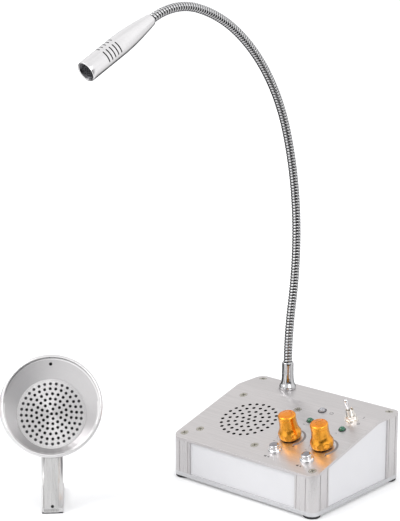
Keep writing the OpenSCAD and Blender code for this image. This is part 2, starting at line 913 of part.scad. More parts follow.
module power_jack() {
    color("#1a1a1a") {
        at_jack(power_jack_x) jack(3.1, 10);
        at_jack(power_jack_x) translate([0, 0, -9.5]) cylinder(r = 1, h = 8.6);
    }
}

module station_jack() { color("#1a1a1a") at_jack(station_jack_x) jack(1.8, 12); }

// ---------- gooseneck ----------

// Height of the neck's direction over level at the start of stretch i
function heading(i) = i == 0 ? 90 : heading(i - 1) - neck_turns[i - 1];

// [forward, up] after a length l of stretch i, counted from its start
function arc_step(i, l) =
    let (a = heading(i), turned = neck_turns[i] * l / link_len,
         r = link_len * 180 / (PI * neck_turns[i]))
    r * [sin(a) - sin(a - turned), cos(a - turned) - cos(a)];

function link_start(i) =
    i == 0 ? [0, neck_top] : link_start(i - 1) + arc_step(i - 1, link_len);

// [forward, up, heading] at a length l of stretch i, straight on past both ends
function neck_at(i, l) =
    let (inside = min(link_len, max(0, l)), over = l - inside,
         a = heading(i) - neck_turns[i] * inside / link_len,
         p = link_start(i) + arc_step(i, inside) + over * [cos(a), sin(a)])
    [p[0], p[1], a];

// A ring of points round the neck, in the plane's own frame
function neck_ring(i, l, r) =
    let (p = neck_at(i, l))
    [for (k = [0 : tube_sides - 1])
        let (turn = 360 * (k + 0.5) / tube_sides)
        [r * cos(turn), -p[0] + r * sin(turn) * sin(p[2]), p[1] + r * sin(turn) * cos(p[2])]];

// Faces of a skin over count rings, the first ring's points starting at index first
function skin_faces(first, count, out) =
    [for (k = [0 : count - 2], j = [0 : tube_sides - 1])
        let (n = tube_sides, a = first + k * n + j, b = first + k * n + (j + 1) % n,
             c = a + n, d = b + n)
        each out ? [[a, c, d], [a, d, b]] : [[a, d, c], [a, b, d]]];

function cap_faces(outer, inner, front) =
    [for (j = [0 : tube_sides - 1])
        let (n = tube_sides, a = outer + j, b = outer + (j + 1) % n,
             c = inner + j, d = inner + (j + 1) % n)
        each front ? [[a, c, d], [a, d, b]] : [[a, b, d], [a, d, c]]];

module in_neck_plane() {
    translate([neck_x, neck_y, 0]) rotate([0, 0, -neck_dir]) children();
}

// One stretch of ribbed tube with its bore. before and after are plain tails at its ends.
module neck_link(i, before = 0, after = 0) {
    pitch = link_len / link_ribs;
    from = before > 0 ? -before : link_gap / 2;
    to = after > 0 ? link_len + after : link_len - link_gap / 2;
    lengths = concat(
        [from],
        [for (k = [0 : link_ribs - 1]) each [
            if (k > 0 || before > 0) k * pitch,
            (k + 0.5) * pitch
        ]],
        after > 0 ? [link_len, to] : [to]
    );
    radii = concat(
        [core_r],
        [for (k = [0 : link_ribs - 1]) each [if (k > 0 || before > 0) core_r, neck_r]],
        after > 0 ? [core_r, core_r] : [core_r]
    );
    bores = [for (k = [0 : bore_rings - 1]) from + (to - from) * k / (bore_rings - 1)];
    skin = [for (k = [0 : len(lengths) - 1]) each neck_ring(i, lengths[k], radii[k])];
    bore = [for (l = bores) each neck_ring(i, l, bore_r)];
    last = len(skin) - tube_sides;
    color("silver") in_neck_plane()
        polyhedron(
            points = concat(skin, bore),
            faces = concat(
                skin_faces(0, len(lengths), true),
                skin_faces(len(skin), bore_rings, false),
                cap_faces(0, len(skin), false),
                cap_faces(last, len(skin) + len(bore) - tube_sides, true)
            )
        );
}

module neck_base() { neck_link(0, before = ferrule_seat - 0.5); }
module neck_link_1() { neck_link(1); }
module neck_link_2() { neck_link(2); }
module neck_link_3() { neck_link(3); }
module neck_link_4() { neck_link(4); }
module neck_link_5() { neck_link(5); }
module neck_link_6() { neck_link(6); }
module neck_link_7() { neck_link(7, after = tail_len); }

stud_r = neck_r + 0.9;
stud_len = 8;

module neck_ferrule() {
    r = ferrule_d / 2;
    top_r = neck_r + 1.1;
    rise = 4.2;
    steps = 8;
    seat = ferrule_h - ferrule_seat;
    color("whitesmoke") on_level(neck_x, neck_y) rotate_extrude()
        polygon(concat(
            [[bore_r + 0.2, -panel_t - stud_len], [stud_r, -panel_t - stud_len], [stud_r, 0],
             [r, 0], [r, rise - 1.2]],
            // hollow curve from the foot up to the sleeve
            [for (k = [0 : steps])
                let (a = 90 * k / steps)
                [top_r + (r - 0.4 - top_r) * (1 - sin(a)), rise + 6 * (1 - cos(a))]],
            [[top_r, ferrule_h - 0.8], [top_r - 0.5, ferrule_h],
             [neck_r + 0.1, ferrule_h], [neck_r + 0.1, ferrule_h - 0.3],
             [core_r + tail_clear, ferrule_h - 0.3], [core_r + tail_clear, seat],
             [bore_r + 0.2, seat]]
        ));
}

module neck_nut() {
    color("darkgray") on_level(neck_x, neck_y) translate([0, 0, -panel_t - stud_r])
        hex_nut(stud_r * 3.15, stud_r, stud_r + run_clear);
}

// ---------- microphone ----------

// Moves to the end of the neck, with z along the microphone
module at_mic() {
    p = neck_at(7, link_len);
    in_neck_plane() translate([0, -p[0], p[1]]) rotate([90 - p[2], 0, 0]) children();
}

// Half the microphone's diameter at a distance z from its tail
function mic_radius(z) =
    let (taper = mic_len - mic_straight, q = min(1, z / taper))
    mic_tail_r + (mic_r - mic_tail_r) * sin(90 * q);

module mic_body() {
    rings = 12;
    taper = mic_len - mic_straight;
    bore_from = taper - 8;
    edge = 0.5;
    color("gainsboro") at_mic() difference() {
        rotate_extrude()
            polygon(concat(
                [[core_r + tail_clear, 0]],
                [for (k = [0 : rings]) [mic_radius(taper * k / rings), taper * k / rings]],
                [[mic_r, mic_len - edge], [mic_r - edge, mic_len],
                 [mic_bore_r, mic_len], [mic_bore_r, bore_from + 3],
                 [mic_bore_r - 1.5, bore_from], [bore_r, bore_from],
                 [bore_r, tail_len + 0.2], [core_r + tail_clear, tail_len + 0.2]]
            ));
        for (k = [0 : mic_slots - 1], quarter = [0 : 3])
            rotate([0, 0, 90 * quarter + mic_slot_turn - mic_slot_arc / 2])
                translate([0, 0, mic_len - mic_slot_from - k * mic_slot_pitch - mic_slot_w / 2])
                    rotate_extrude(angle = mic_slot_arc)
                        translate([mic_bore_r - 0.5, 0]) square([mic_wall + 1.5, mic_slot_w]);
    }
}

module mic_grille() {
    r = mic_bore_r - seat_clear;
    color("#4a4a4e") at_mic()
        translate([0, 0, mic_len - mic_grille_in - mic_grille_t]) difference() {
            cylinder(r = r, h = mic_grille_t);
            hole_rings([6, 12], r / 3.1, 1.2, 3);
        }
}

module mic_capsule() {
    r = mic_bore_r - seat_clear;
    depth = 6.7;
    top = mic_len - mic_grille_in - mic_grille_t;
    color("#222222") at_mic() translate([0, 0, top - depth]) rotate_extrude()
        polygon([[0, 0], [r, 0], [r, depth], [r - 1, depth], [r - 1, depth - 0.6], [0, depth - 0.6]]);
}

// ---------- outside station ----------

// The station's own frame: its foot on the counter, its front towards -Y
module at_station() {
    translate([station_x, station_y, 0]) rotate([0, 0, station_turn]) children();
}

// The leaning frame: z up the stem, from the foot's top
module on_stem() {
    at_station() translate([0, 0, pad_t + station_foot_t]) rotate([-station_lean, 0, 0])
        children();
}

// The dish's frame: z out of its rim, y up
module at_dish() {
    on_stem() translate([0, 0, station_h - pad_t - station_foot_t]) rotate([90, 0, 0])
        children();
}

// Outer form of the dish
module dish_form() {
    rotate_extrude()
        polygon([
            [0, -dish_h], [dish_back_r, -dish_h], [dish_r - 1.4, -6], [dish_r - 0.3, -4],
            [dish_r, -2.6], [dish_r, -1.4], [dish_r - 0.5, -0.5], [dish_r - 1.3, 0], [0, 0]
        ]);
}

module station_dish() {
    color("#d4d4d6") at_dish() difference() {
        dish_form();
        // slanting cone from the rim down to the grille, which lies below the middle
        hull() {
            cylinder(r = dish_r - lip, h = 0.02, $fn = 96);
            translate([0, -disc_drop, -cone_h]) cylinder(r = disc_r, h = 0.02, $fn = 96);
        }
        translate([0, 0, -tiny]) cylinder(r = dish_r - lip, h = 2);
        translate([0, -disc_drop, -cone_h - disc_t])
            cylinder(r = disc_r + seat_clear, h = disc_t + tiny);
        translate([0, -disc_drop, -dish_h - 1])
            cylinder(r = pocket_r, h = dish_h - cone_h - disc_t + 1 + tiny);
        // port and pocket of the outside microphone
        translate([0, mic_port_y, -dish_h]) cylinder(d = mic_port_d, h = dish_h + 1);
        translate([0, mic_port_y, -dish_h - 1])
            cylinder(r = port_cap_r + run_clear, h = dish_h + 1 - port_cap_in);
        at_cover_screws() cylinder(r = cover_screw_r + screw_clear, h = cover_screw_len - 1);
    }
}

module at_cover_screws() {
    for (turn = [30, 150])
        rotate([0, 0, turn]) translate([dish_back_r - 3.6, 0, -dish_h - tiny]) children();
}

module station_grille() {
    counts = [5, 12, 18, 22, 28, 32];
    color("#cfcfd2") at_dish() translate([0, -disc_drop, -cone_h - disc_t / 2])
        difference() {
            cylinder(r = disc_r, h = disc_t, center = true);
            hole_rings(counts, disc_pitch, disc_hole_d, disc_t + 1);
        }
}

// Frame and magnet of the outside loudspeaker
module station_speaker() {
    r = pocket_r - seat_clear;
    top = -cone_h - disc_t;
    color("#4a4a4e") at_dish() translate([0, -disc_drop, top]) rotate_extrude()
        polygon([
            [r, 0], [r, -1.2], [r - 3, -1.6], [10, -5.4], [10, -10], [0, -10], [0, -7],
            [6, -7], [6, -4.6], [9, -4.6], [r - 3.4, -0.8], [r - 3, 0]
        ]);
}

module station_cone() {
    r = pocket_r - 3.4;
    top = -cone_h - disc_t;
    color("#26262a") at_dish() translate([0, -disc_drop, top]) rotate_extrude()
        polygon([
            [r, -0.2], [r - 1.8, -0.1], [r - 3, -0.6], [5.5, -3.4], [0, -2.2], [0, -2.8],
            [5.5, -4.2], [r - 3, -1.1], [r - 1.8, -0.5], [r, -0.6]
        ]);
}

module station_cover() {
    gland_r = 2;
    color("#b9b9bc") at_dish() difference() {
        translate([0, 0, -dish_h - cover_t]) rotate_extrude()
            polygon([
                [0, 0], [dish_back_r - 1.2, 0], [dish_back_r, 1.2], [dish_back_r, cover_t],
                [0, cover_t]
            ]);
        at_cover_screws() rotate([180, 0, 0]) translate([0, 0, cover_t])
            countersunk_hole(cover_t + 1, head = cover_head_d / 2, r = cover_screw_r, play = 0.06);
        translate([0, dish_back_r / 2, -dish_h - cover_t - 1])
            cylinder(r = gland_r, h = cover_t + 2);
    }
}

module station_screws() {
    color("silver") at_dish() at_cover_screws() rotate([180, 0, 0]) translate([0, 0, cover_t])
        countersunk(cover_screw_len, head = cover_head_d / 2, r = cover_screw_r);
}

module station_mic() {
    color("#222222") at_dish() translate([0, mic_port_y, -2 * port_cap_in])
        cylinder(r = port_cap_r, h = port_cap_in);
}

// Stem section: flat front, bevelled front edges
module stem_section() {
    w = stem_w / 2;
    polygon([
        [-w, stem_front + chamfer / 2], [-w + chamfer / 2, stem_front],
        [w - chamfer, stem_front], [w, stem_front + chamfer],
        [w, stem_front + stem_t], [-w, stem_front + stem_t]
    ]);
}

module station_stem() {
    reach = station_h - pad_t - station_foot_t - dish_r + 12;
    hole_z = 2.4;
    color("#c6c6c8") difference() {
        union() {
            difference() {
                intersection() {
                    on_stem() translate([0, 0, -6]) linear_extrude(reach + 6) stem_section();
                    at_station() translate([-stem_w, -reach, pad_t])
                        cube([2 * stem_w, 4 * reach, 2 * reach]);
                }
                at_dish() dish_form();
                at_dish() translate([0, 0, -dish_h - cover_t])
                    cylinder(r = dish_back_r, h = cover_t + 1);
            }
            at_station() translate([-stem_w / 2, stem_front, pad_t])
                cube([stem_w, foot_len, station_foot_t]);
        }
        on_stem() translate([0, stem_front - 1, hole_z]) rotate([-90, 0, 0])
            cylinder(r = 1.1, h = 5);
        for (y = foot_holes)
            at_station() translate([0, y, 0])
                cylinder(d = foot_hole_d, h = pad_t + station_foot_t + 1);
    }
}

foot_holes = [stem_front + foot_len - 22, stem_front + foot_len - 8];

module station_pad() {
    color("#1c1c1c") at_station() difference() {
        translate([-stem_w / 2, stem_front, 0]) cube([stem_w, foot_len, pad_t]);
        for (y = foot_holes)
            translate([0, y, -1]) cylinder(d = foot_hole_d, h = pad_t + 2);
    }
}

top_panel();
bottom_plate();
front_posts();
rear_posts();
front_plate();
rear_plate();
left_plate();
right_plate();
rubber_feet();
foot_screws();
panel_screws();
speaker_frame();
speaker_cone();
speaker_magnet();
speaker_screws();
speaker_nuts();
circuit_board();
board_standoffs();
heat_sink();
capacitors();
pot_bodies();
pot_nuts();
pot_shaft_left();
pot_shaft_right();
volume_knob_left();
volume_knob_right();
button_switches();
button_bezels();
mute_button_left();
mute_button_right();
toggle_switch();
toggle_nut();
toggle_washer();
toggle_lever();
power_lamp();
green_lamps();
power_jack();
station_jack();
neck_ferrule();
neck_nut();
neck_base();
neck_link_1();
neck_link_2();
neck_link_3();
neck_link_4();
neck_link_5();
neck_link_6();
neck_link_7();
mic_body();
mic_grille();
mic_capsule();
station_dish();
station_grille();
station_speaker();
station_cone();
station_cover();
station_stem();
station_mic();
station_screws();
station_pad();
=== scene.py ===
import math

import bmesh
import bpy
from mathutils import Matrix, Vector


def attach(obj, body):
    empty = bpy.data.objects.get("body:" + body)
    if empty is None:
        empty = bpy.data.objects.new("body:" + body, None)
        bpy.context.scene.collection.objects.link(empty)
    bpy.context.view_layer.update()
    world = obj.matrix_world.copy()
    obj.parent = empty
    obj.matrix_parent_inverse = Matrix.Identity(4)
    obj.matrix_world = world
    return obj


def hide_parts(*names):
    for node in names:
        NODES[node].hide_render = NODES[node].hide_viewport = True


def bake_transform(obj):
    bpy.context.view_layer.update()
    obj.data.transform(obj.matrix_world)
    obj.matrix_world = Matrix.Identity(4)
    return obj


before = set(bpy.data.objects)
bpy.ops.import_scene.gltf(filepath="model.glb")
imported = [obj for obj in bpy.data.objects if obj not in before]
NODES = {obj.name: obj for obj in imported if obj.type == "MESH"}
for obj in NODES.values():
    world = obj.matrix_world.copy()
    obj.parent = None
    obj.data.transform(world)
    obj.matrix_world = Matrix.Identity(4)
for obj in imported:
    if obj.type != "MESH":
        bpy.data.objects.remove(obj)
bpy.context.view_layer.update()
MM = 0.001
TAU = 2 * math.pi
X, Y, Z = Vector((1, 0, 0)), Vector((0, 1, 0)), Vector((0, 0, 1))


# ---------------------------------------------------------------- places
# The same values as in the part's source, in millimetres
CASE_W, CASE_D, LEVEL_D = 130, 104, 28
FRONT_Z, REAR_Z, PANEL_T = 29.4, 50.2, 2.0
SLOPE = math.atan((REAR_Z - FRONT_Z) / (CASE_D - LEVEL_D))
SLOPE_LEN = (CASE_D - LEVEL_D) / math.cos(SLOPE)
COLUMNS = {"left": 0.143 * CASE_W, "right": 0.3615 * CASE_W}
KNOB_V, BUTTON_V, LAMP_V = 0.438 * SLOPE_LEN, 0.203 * SLOPE_LEN, 0.7385 * SLOPE_LEN
TOGGLE = (0.346 * CASE_W, SLOPE_LEN - 6.6)
POWER_LAMP = (COLUMNS["left"], SLOPE_LEN - 5.7)
GRILLE = (-0.194 * CASE_W, 0.523 * SLOPE_LEN)
GRILLE_R = 22.5

NECK_X, NECK_Y, NECK_DIR = -30.0, 39.5, math.radians(5)
FERRULE_H = 20.8
NECK_TOP = REAR_Z + PANEL_T + FERRULE_H
LINKS, LINK = 8, 44.5
TURNS = [-9, 8, 9, 9, 16.5, 18, 23.5, 43]       # degrees that each link curves
MIC_LEN, MIC_TAPER, MIC_NECK_R, MIC_R = 63.5, 33.5, 4.0, 7.1

STATION_O = Vector((-76.5, -162.5, 0))
STATION_TURN, STATION_LEAN = 45, 20
FOOT_T, DISH_UP = 4.0, 71.5
DISH_R, DISH_H, CONE_H, LIP = 35.75, 20.0, 8.0, 2.2
DISC_R, DISC_DROP, DISC_SEAT, DISC_HOLES_R = 24.3, 5.2, 0.9, 23.2


def frame_of(origin, ex=X, ey=Y, ez=Z):
    """4x4 matrix from local millimetres to the row frame in metres."""
    m = Matrix.Identity(4)
    for column, v in enumerate((ex, ey, ez, origin)):
        for row in range(3):
            m[row][column] = v[row] * MM
    return m


UP_SLOPE = Vector((0, math.cos(SLOPE), math.sin(SLOPE)))
NORMAL = Vector((0, -math.sin(SLOPE), math.cos(SLOPE)))
SLOPE_O = Vector((0, -CASE_D / 2, FRONT_Z + PANEL_T / math.cos(SLOPE)))


def on_slope(u, v, h=0.0):
    return frame_of(SLOPE_O + X * u + UP_SLOPE * v + NORMAL * h, X, UP_SLOPE, NORMAL)


def heading(i):
    """Direction in which link i starts, in degrees above the level."""
    return 90 - sum(TURNS[:i])


def arc_step(i, length):
    """Step in the neck's plane after a length of link i's arc."""
    start, turned = math.radians(heading(i)), math.radians(TURNS[i] * length / LINK)
    r = LINK / math.radians(TURNS[i])
    return Vector((r * (math.sin(start) - math.sin(start - turned)),
                   r * (math.cos(start - turned) - math.cos(start))))


STARTS = [Vector((0, NECK_TOP))]
for i in range(LINKS):
    STARTS.append(STARTS[i] + arc_step(i, LINK))
FORWARD = Vector((-math.sin(NECK_DIR), -math.cos(NECK_DIR), 0))
SIDE = Vector((math.cos(NECK_DIR), -math.sin(NECK_DIR), 0))


def neck_at(length):
    """Point, direction and in-plane normal of the neck at a length from its base."""
    i = min(LINKS - 1, max(0, int(length // LINK)))
    beyond = length - i * LINK
    inside = min(LINK, max(0.0, beyond))
    p = STARTS[i] + arc_step(i, inside)
    a = math.radians(heading(i) - TURNS[i] * inside / LINK)
    p = p + Vector((math.cos(a), math.sin(a))) * (beyond - inside)
    along = FORWARD * math.cos(a) + Z * math.sin(a)
    across = FORWARD * math.sin(a) - Z * math.cos(a)
    return Vector((NECK_X, NECK_Y, 0)) + FORWARD * p[0] + Z * p[1], along, across


mic_o, mic_along, _ = neck_at(LINKS * LINK)
AT_MIC = frame_of(mic_o, SIDE, mic_along.cross(SIDE), mic_along)


def rot(axis, degrees):
    return Matrix.Rotation(math.radians(degrees), 3, axis)


R_STATION = rot("Z", STATION_TURN)
R_STEM = R_STATION @ rot("X", -STATION_LEAN)
R_DISH = R_STEM @ rot("X", 90)
STEM_O = STATION_O + Z * FOOT_T
AT_STEM = frame_of(STATION_O, *R_STEM.col)
AT_DISH = frame_of(STEM_O + R_STEM @ Vector((0, 0, DISH_UP)), *R_DISH.col)
AT_TOGGLE = on_slope(*TOGGLE)
FLAT, WORLD = on_slope(0, 0), frame_of((0, 0, 0))


# ---------------------------------------------------------------- node helpers
class Tree:
    """The node tree of a material or world, and short calls that add nodes to it."""

    def __init__(self, owner, clear=False):
        owner.use_nodes = True
        self.tree = owner.node_tree
        if clear:
            self.tree.nodes.clear()

    def link(self, a, b):
        self.tree.links.new(a, b)

    def new(self, kind, **props):
        n = self.tree.nodes.new(kind)
        for k, v in props.items():
            setattr(n, k, v)
        return n

    def put(self, socket, value):
        """Links an output to a socket, or sets a plain value on it."""
        if isinstance(value, bpy.types.NodeSocket):
            self.link(value, socket)
        else:
            socket.default_value = value

    def math(self, op, a, b=0.0):
        n = self.new("ShaderNodeMath", operation=op)
        self.put(n.inputs[0], a)
        self.put(n.inputs[1], b)
        return n.outputs[0]

    def vmath(self, op, a, b=(0, 0, 0), out=0):
        n = self.new("ShaderNodeVectorMath", operation=op)
        self.put(n.inputs[0], a)
        self.put(n.inputs[1], b)
        return n.outputs[out]

    def weighted(self, a, b, share):
        return self.math("ADD", self.math("MULTIPLY", a, share),
                         self.math("MULTIPLY", b, 1 - share))

    def coords(self, output="Object"):
        return self.new("ShaderNodeTexCoord").outputs[output]

    def xyz(self, *parts):
        n = self.new("ShaderNodeCombineXYZ")
        for s, v in zip(n.inputs, parts):
            self.put(s, v)
        return n.outputs[0]

    def noise(self, vector, scale, detail=2.0, rough=0.5):
        n = self.new("ShaderNodeTexNoise")
        self.link(vector, n.inputs["Vector"])
        n.inputs["Scale"].default_value = scale
        n.inputs["Detail"].default_value = detail
        n.inputs["Roughness"].default_value = rough
        return n.outputs[0]

    def range(self, value, lo, hi, from_lo=0.3, from_hi=0.7):
        n = self.new("ShaderNodeMapRange")
        self.link(value, n.inputs["Value"])
        n.inputs["From Min"].default_value = from_lo
        n.inputs["From Max"].default_value = from_hi
        n.inputs["To Min"].default_value = lo
        n.inputs["To Max"].default_value = hi
        return n.outputs[0]

    def mix(self, fac, a, b):
        n = self.new("ShaderNodeMix", data_type="RGBA")
        self.put(n.inputs[0], fac)
        for s, v in ((n.inputs[6], a), (n.inputs[7], b)):
            self.put(s, v if isinstance(v, bpy.types.NodeSocket) else (*v, 1.0))
        return n.outputs[2]

    def ramp(self, value, stops):
        """A smooth curve of greys through stops of (place, level)."""
        n = self.new("ShaderNodeValToRGB")
        n.color_ramp.interpolation = "EASE"
        elements = n.color_ramp.elements
        elements.remove(elements[-1])
        for i, (place, level) in enumerate(stops):
            element = elements[0] if i == 0 else elements.new(place)
            element.position = place
            element.color = (level, level, level, 1)
        self.link(value, n.inputs[0])
        return n.outputs[0]

    def shader(self, kind, color, strength=1.0):
        """A background or an emission."""
        n = self.new(kind)
        self.put(n.inputs[0], color)
        self.put(n.inputs[1], strength)
        return n.outputs[0]

    def mix_shader(self, fac, a, b):
        n = self.new("ShaderNodeMixShader")
        for s, v in zip(n.inputs, (fac, a, b)):
            self.link(v, s)
        return n.outputs[0]


class Finish(Tree):
    """A new material of one shader."""

    def __init__(self, name):
        self.mat = bpy.data.materials.new(name)
        super().__init__(self.mat, clear=True)
        self.bsdf = self.new("ShaderNodeBsdfPrincipled")
        self.link(self.bsdf.outputs[0], self.new("ShaderNodeOutputMaterial").inputs[0])

    def set(self, **values):
        for k, v in values.items():
            self.put(self.bsdf.inputs[k.replace("_", " ")], v)

    def shades(self, value, color, down, up, *limits):
        """The colour, darker by down to lighter by up as the value grows."""
        return self.mix(self.range(value, 0, 1, *limits), tint(color, 1 - down),
                        tint(color, 1 + up))

    def metal(self, marks, color, rough, spread, shade):
        """Bare metal whose colour and gloss follow its tool marks."""
        self.set(Metallic=1.0, Base_Color=self.shades(marks, color, shade, shade, 0.38, 0.62),
                 Roughness=self.range(marks, rough - spread, rough + spread, 0.35, 0.65))

    def local(self, m):
        """Coordinates in millimetres along the axes of a piece's own frame."""
        p = self.vmath("SUBTRACT", self.coords(), tuple(m.translation))
        parts = [self.vmath("DOT_PRODUCT", p, tuple(axis_of(m, i) / MM), out="Value")
                 for i in range(3)]
        return self.xyz(*parts), parts

    def rounded(self, radius):
        n = self.new("ShaderNodeBevel", samples=4)
        n.inputs["Radius"].default_value = radius
        return n.outputs[0]

    def bump(self, height, distance, strength, normal=None):
        n = self.new("ShaderNodeBump")
        n.inputs["Strength"].default_value = strength
        n.inputs["Distance"].default_value = distance
        self.link(height, n.inputs["Height"])
        if normal is not None:
            self.link(normal, n.inputs["Normal"])
        self.set(Normal=n.outputs[0])


def axis_of(m, i):
    return Vector((m[0][i], m[1][i], m[2][i])).normalized()


def tint(color, k):
    return tuple(min(1.0, c * k) for c in color)


def spotted(name, color, metallic, rough, rough_var=0.05, shade=0.05, size=0.004, bump=0.0,
            bump_size=0.0006, edge=0.0):
    """Plain finish with a little unevenness in colour, gloss and surface."""
    n = Finish(name)
    co = n.coords()
    n.set(Metallic=metallic, Base_Color=n.shades(n.noise(co, 1 / size, 3.0), color, shade, shade),
          Roughness=n.range(n.noise(co, 2.3 / size), rough - rough_var, rough + rough_var))
    normal = n.rounded(edge) if edge else None
    if bump:
        n.bump(n.noise(co, 1 / bump_size), bump, 0.6, normal)
    elif edge:
        n.set(Normal=normal)
    return n.mat


def brushed(name, color, rough, m, along=0, shade=0.06, aniso=0.0):
    """Metal brushed along one axis of the frame m."""
    n = Finish(name)
    co, _ = n.local(m)

    def streaks(width, length, detail, roughness):
        k = [1 / width] * 3
        k[along] = 1 / length
        return n.noise(n.vmath("MULTIPLY", co, tuple(k)), 1.0, detail, roughness)

    lines = streaks(0.16, 14.4, 4.0, 0.6)
    bands = streaks(1.12, 41.6, 2.0, 0.5)
    n.metal(n.weighted(lines, bands, 0.6), color, rough, 0.07, shade)
    if aniso:
        n.set(Anisotropic=aniso, Tangent=n.xyz(*axis_of(m, along)))
    n.bump(lines, 0.000012, 0.5)
    return n.mat


def turned(name, color, rough, m, aniso, centre=(0, 0)):
    """Metal turned on a lathe round the z axis of the frame m."""
    n = Finish(name)
    pitch = 0.22
    co, (x, y, z) = n.local(m)
    x = n.math("SUBTRACT", x, centre[0])
    y = n.math("SUBTRACT", y, centre[1])
    r = n.math("SQRT", n.math("ADD", n.math("MULTIPLY", x, x), n.math("MULTIPLY", y, y)))
    profile = n.xyz(n.math("MULTIPLY", r, 1 / pitch), n.math("MULTIPLY", z, 1 / pitch))
    lines = n.noise(profile, 1.0, 3.0, 0.6)
    n.metal(n.weighted(lines, n.noise(co, 0.12), 0.7), color, rough, 0.05, 0.04)
    ring = n.vmath("CROSS_PRODUCT", (0, 0, 1), n.xyz(x, y))
    # back from the piece's own axes to the row frame's
    parts = [n.vmath("DOT_PRODUCT", ring, tuple(Vector(m[i][:3]) / MM), out="Value")
             for i in range(3)]
    n.set(Anisotropic=aniso, Tangent=n.vmath("NORMALIZE", n.xyz(*parts)))
    n.bump(lines, 0.000008, 0.5)
    return n.mat


def knob_metal(name, color):
    """Anodised aluminium, turned."""
    n = Finish(name)
    co = n.coords()
    patches = n.noise(co, 300)
    n.set(Metallic=1.0, Roughness=n.range(patches, 0.26, 0.32), Coat_Weight=0.25,
          Coat_Roughness=0.08, Base_Color=n.shades(patches, color, 0.04, 0.04))
    n.bump(n.noise(n.vmath("MULTIPLY", co, (1, 1, 6)), 900), 0.000006, 0.4)
    return n.mat


def lamp_plastic(name, color):
    n = Finish(name)
    patches = n.noise(n.coords(), 500, 1.0)
    n.set(Base_Color=n.shades(patches, color, 0.15, 0.1), Transmission_Weight=0.25,
          Roughness=n.range(patches, 0.05, 0.12), Coat_Weight=0.6, Coat_Roughness=0.03)
    return n.mat


def paint_hole_wall_shade(mat, axis, centre, radius):
    """Paints shade on the walls of a grille's holes: near-black where the dark inside would shade
    them.
    """
    t = Tree(mat)
    bsdf = next(x for x in t.tree.nodes if x.type == "BSDF_PRINCIPLED")
    facing = t.vmath("DOT_PRODUCT", t.coords("Normal"), tuple(axis), out="Value")
    level = t.range(t.math("ABSOLUTE", facing), 0, 1, 0.15, 0.4)
    away = t.vmath("DISTANCE", t.coords(), tuple(centre), out="Value")
    keep = t.math("MAXIMUM", level, t.math("GREATER_THAN", away, radius * MM))
    # the near-black colour is painted shade; keep leaves the own colour on faces along the axis
    # and outside the grille's radius
    color = bsdf.inputs["Base Color"]
    t.link(t.mix(keep, (0.02, 0.02, 0.022), color.links[0].from_socket), color)


# ---------------------------------------------------------------- mesh helpers
def finish_mesh(bm, name, m, mat, body, replaces=(), sharp=32):
    """An object of the mesh bm, placed by m. Without sharp, all its faces are flat."""
    bmesh.ops.recalc_face_normals(bm, faces=bm.faces)
    me = bpy.data.meshes.new(name)
    bm.to_mesh(me)
    bm.free()
    if m is not None:
        me.transform(m)
    if sharp:
        me.shade_smooth()
        me.set_sharp_from_angle(angle=math.radians(sharp))
    me.materials.append(mat)
    ob = bpy.data.objects.new(name, me)
    bpy.context.scene.collection.objects.link(ob)
    if body:
        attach(ob, body)
    if replaces:
        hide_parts(*replaces)
    return ob


def add_rings(bm, rings, closed=False):
    """Skins a list of rings of vertices. A ring of one vertex is a pole."""
    pairs = list(zip(rings, rings[1:]))
    if closed:
        pairs.append((rings[-1], rings[0]))
    for a, b in pairs:
        n = max(len(a), len(b))
        for k in range(n):
            j = (k + 1) % n
            if len(a) == 1:
                bm.faces.new((a[0], b[j], b[k]))
            elif len(b) == 1:
                bm.faces.new((a[k], a[j], b[0]))
            else:
                bm.faces.new((a[k], a[j], b[j], b[k]))


def lathe(bm, profile, segs=64, warp=None, closed=False, centre=(0, 0)):
    """Turns a profile of (r, z) or (r, z, x, y) round the z axis, or round x, y."""
    rings = []
    for r, z, *own in profile:
        cx, cy = own or centre
        if r < 1e-6:
            rings.append([bm.verts.new((cx, cy, z))])
            continue
        ring = []
        for k in range(segs):
            a = TAU * k / segs
            rr = warp(a, r, z) if warp else r
            ring.append(bm.verts.new((cx + rr * math.cos(a), cy + rr * math.sin(a), z)))
        rings.append(ring)
    add_rings(bm, rings, closed)


def add_box(bm, lo, hi):
    low, high = [[bm.verts.new((x, y, z)) for x, y in
                  ((lo[0], lo[1]), (hi[0], lo[1]), (hi[0], hi[1]), (lo[0], hi[1]))]
                 for z in (lo[2], hi[2])]
    bm.faces.new(low[::-1])
    bm.faces.new(high)
    for k in range(4):
        j = (k + 1) % 4
        bm.faces.new((low[k], low[j], high[j], high[k]))


def rounded_profile(points, radius, steps, ends=False):
    """Rounds the corners of a profile of (r, z) points."""
    out = []
    n = len(points)
    for i, p in enumerate(points):
        if i in (0, n - 1) and not ends:
            out.append(p)
            continue
        p = Vector(p)
        a, b = Vector(points[(i - 1) % n]), Vector(points[(i + 1) % n])
        d = min(radius, (a - p).length * 0.45, (b - p).length * 0.45)
        s, e = p + (a - p).normalized() * d, p + (b - p).normalized() * d
        for k in range(steps + 1):
            t = k / steps
            q = s * (1 - t) ** 2 + p * 2 * t * (1 - t) + e * t ** 2
            out.append((q[0], q[1]))
    return out


def applied(ob):
    """Bakes the modifiers of ob into its mesh."""
    bpy.context.view_layer.update()
    shape = ob.evaluated_get(bpy.context.evaluated_depsgraph_get())
    me = bpy.data.meshes.new_from_object(shape)
    old = ob.data
    ob.modifiers.clear()
    ob.data = me
    me.name = old.name
    bpy.data.meshes.remove(old)


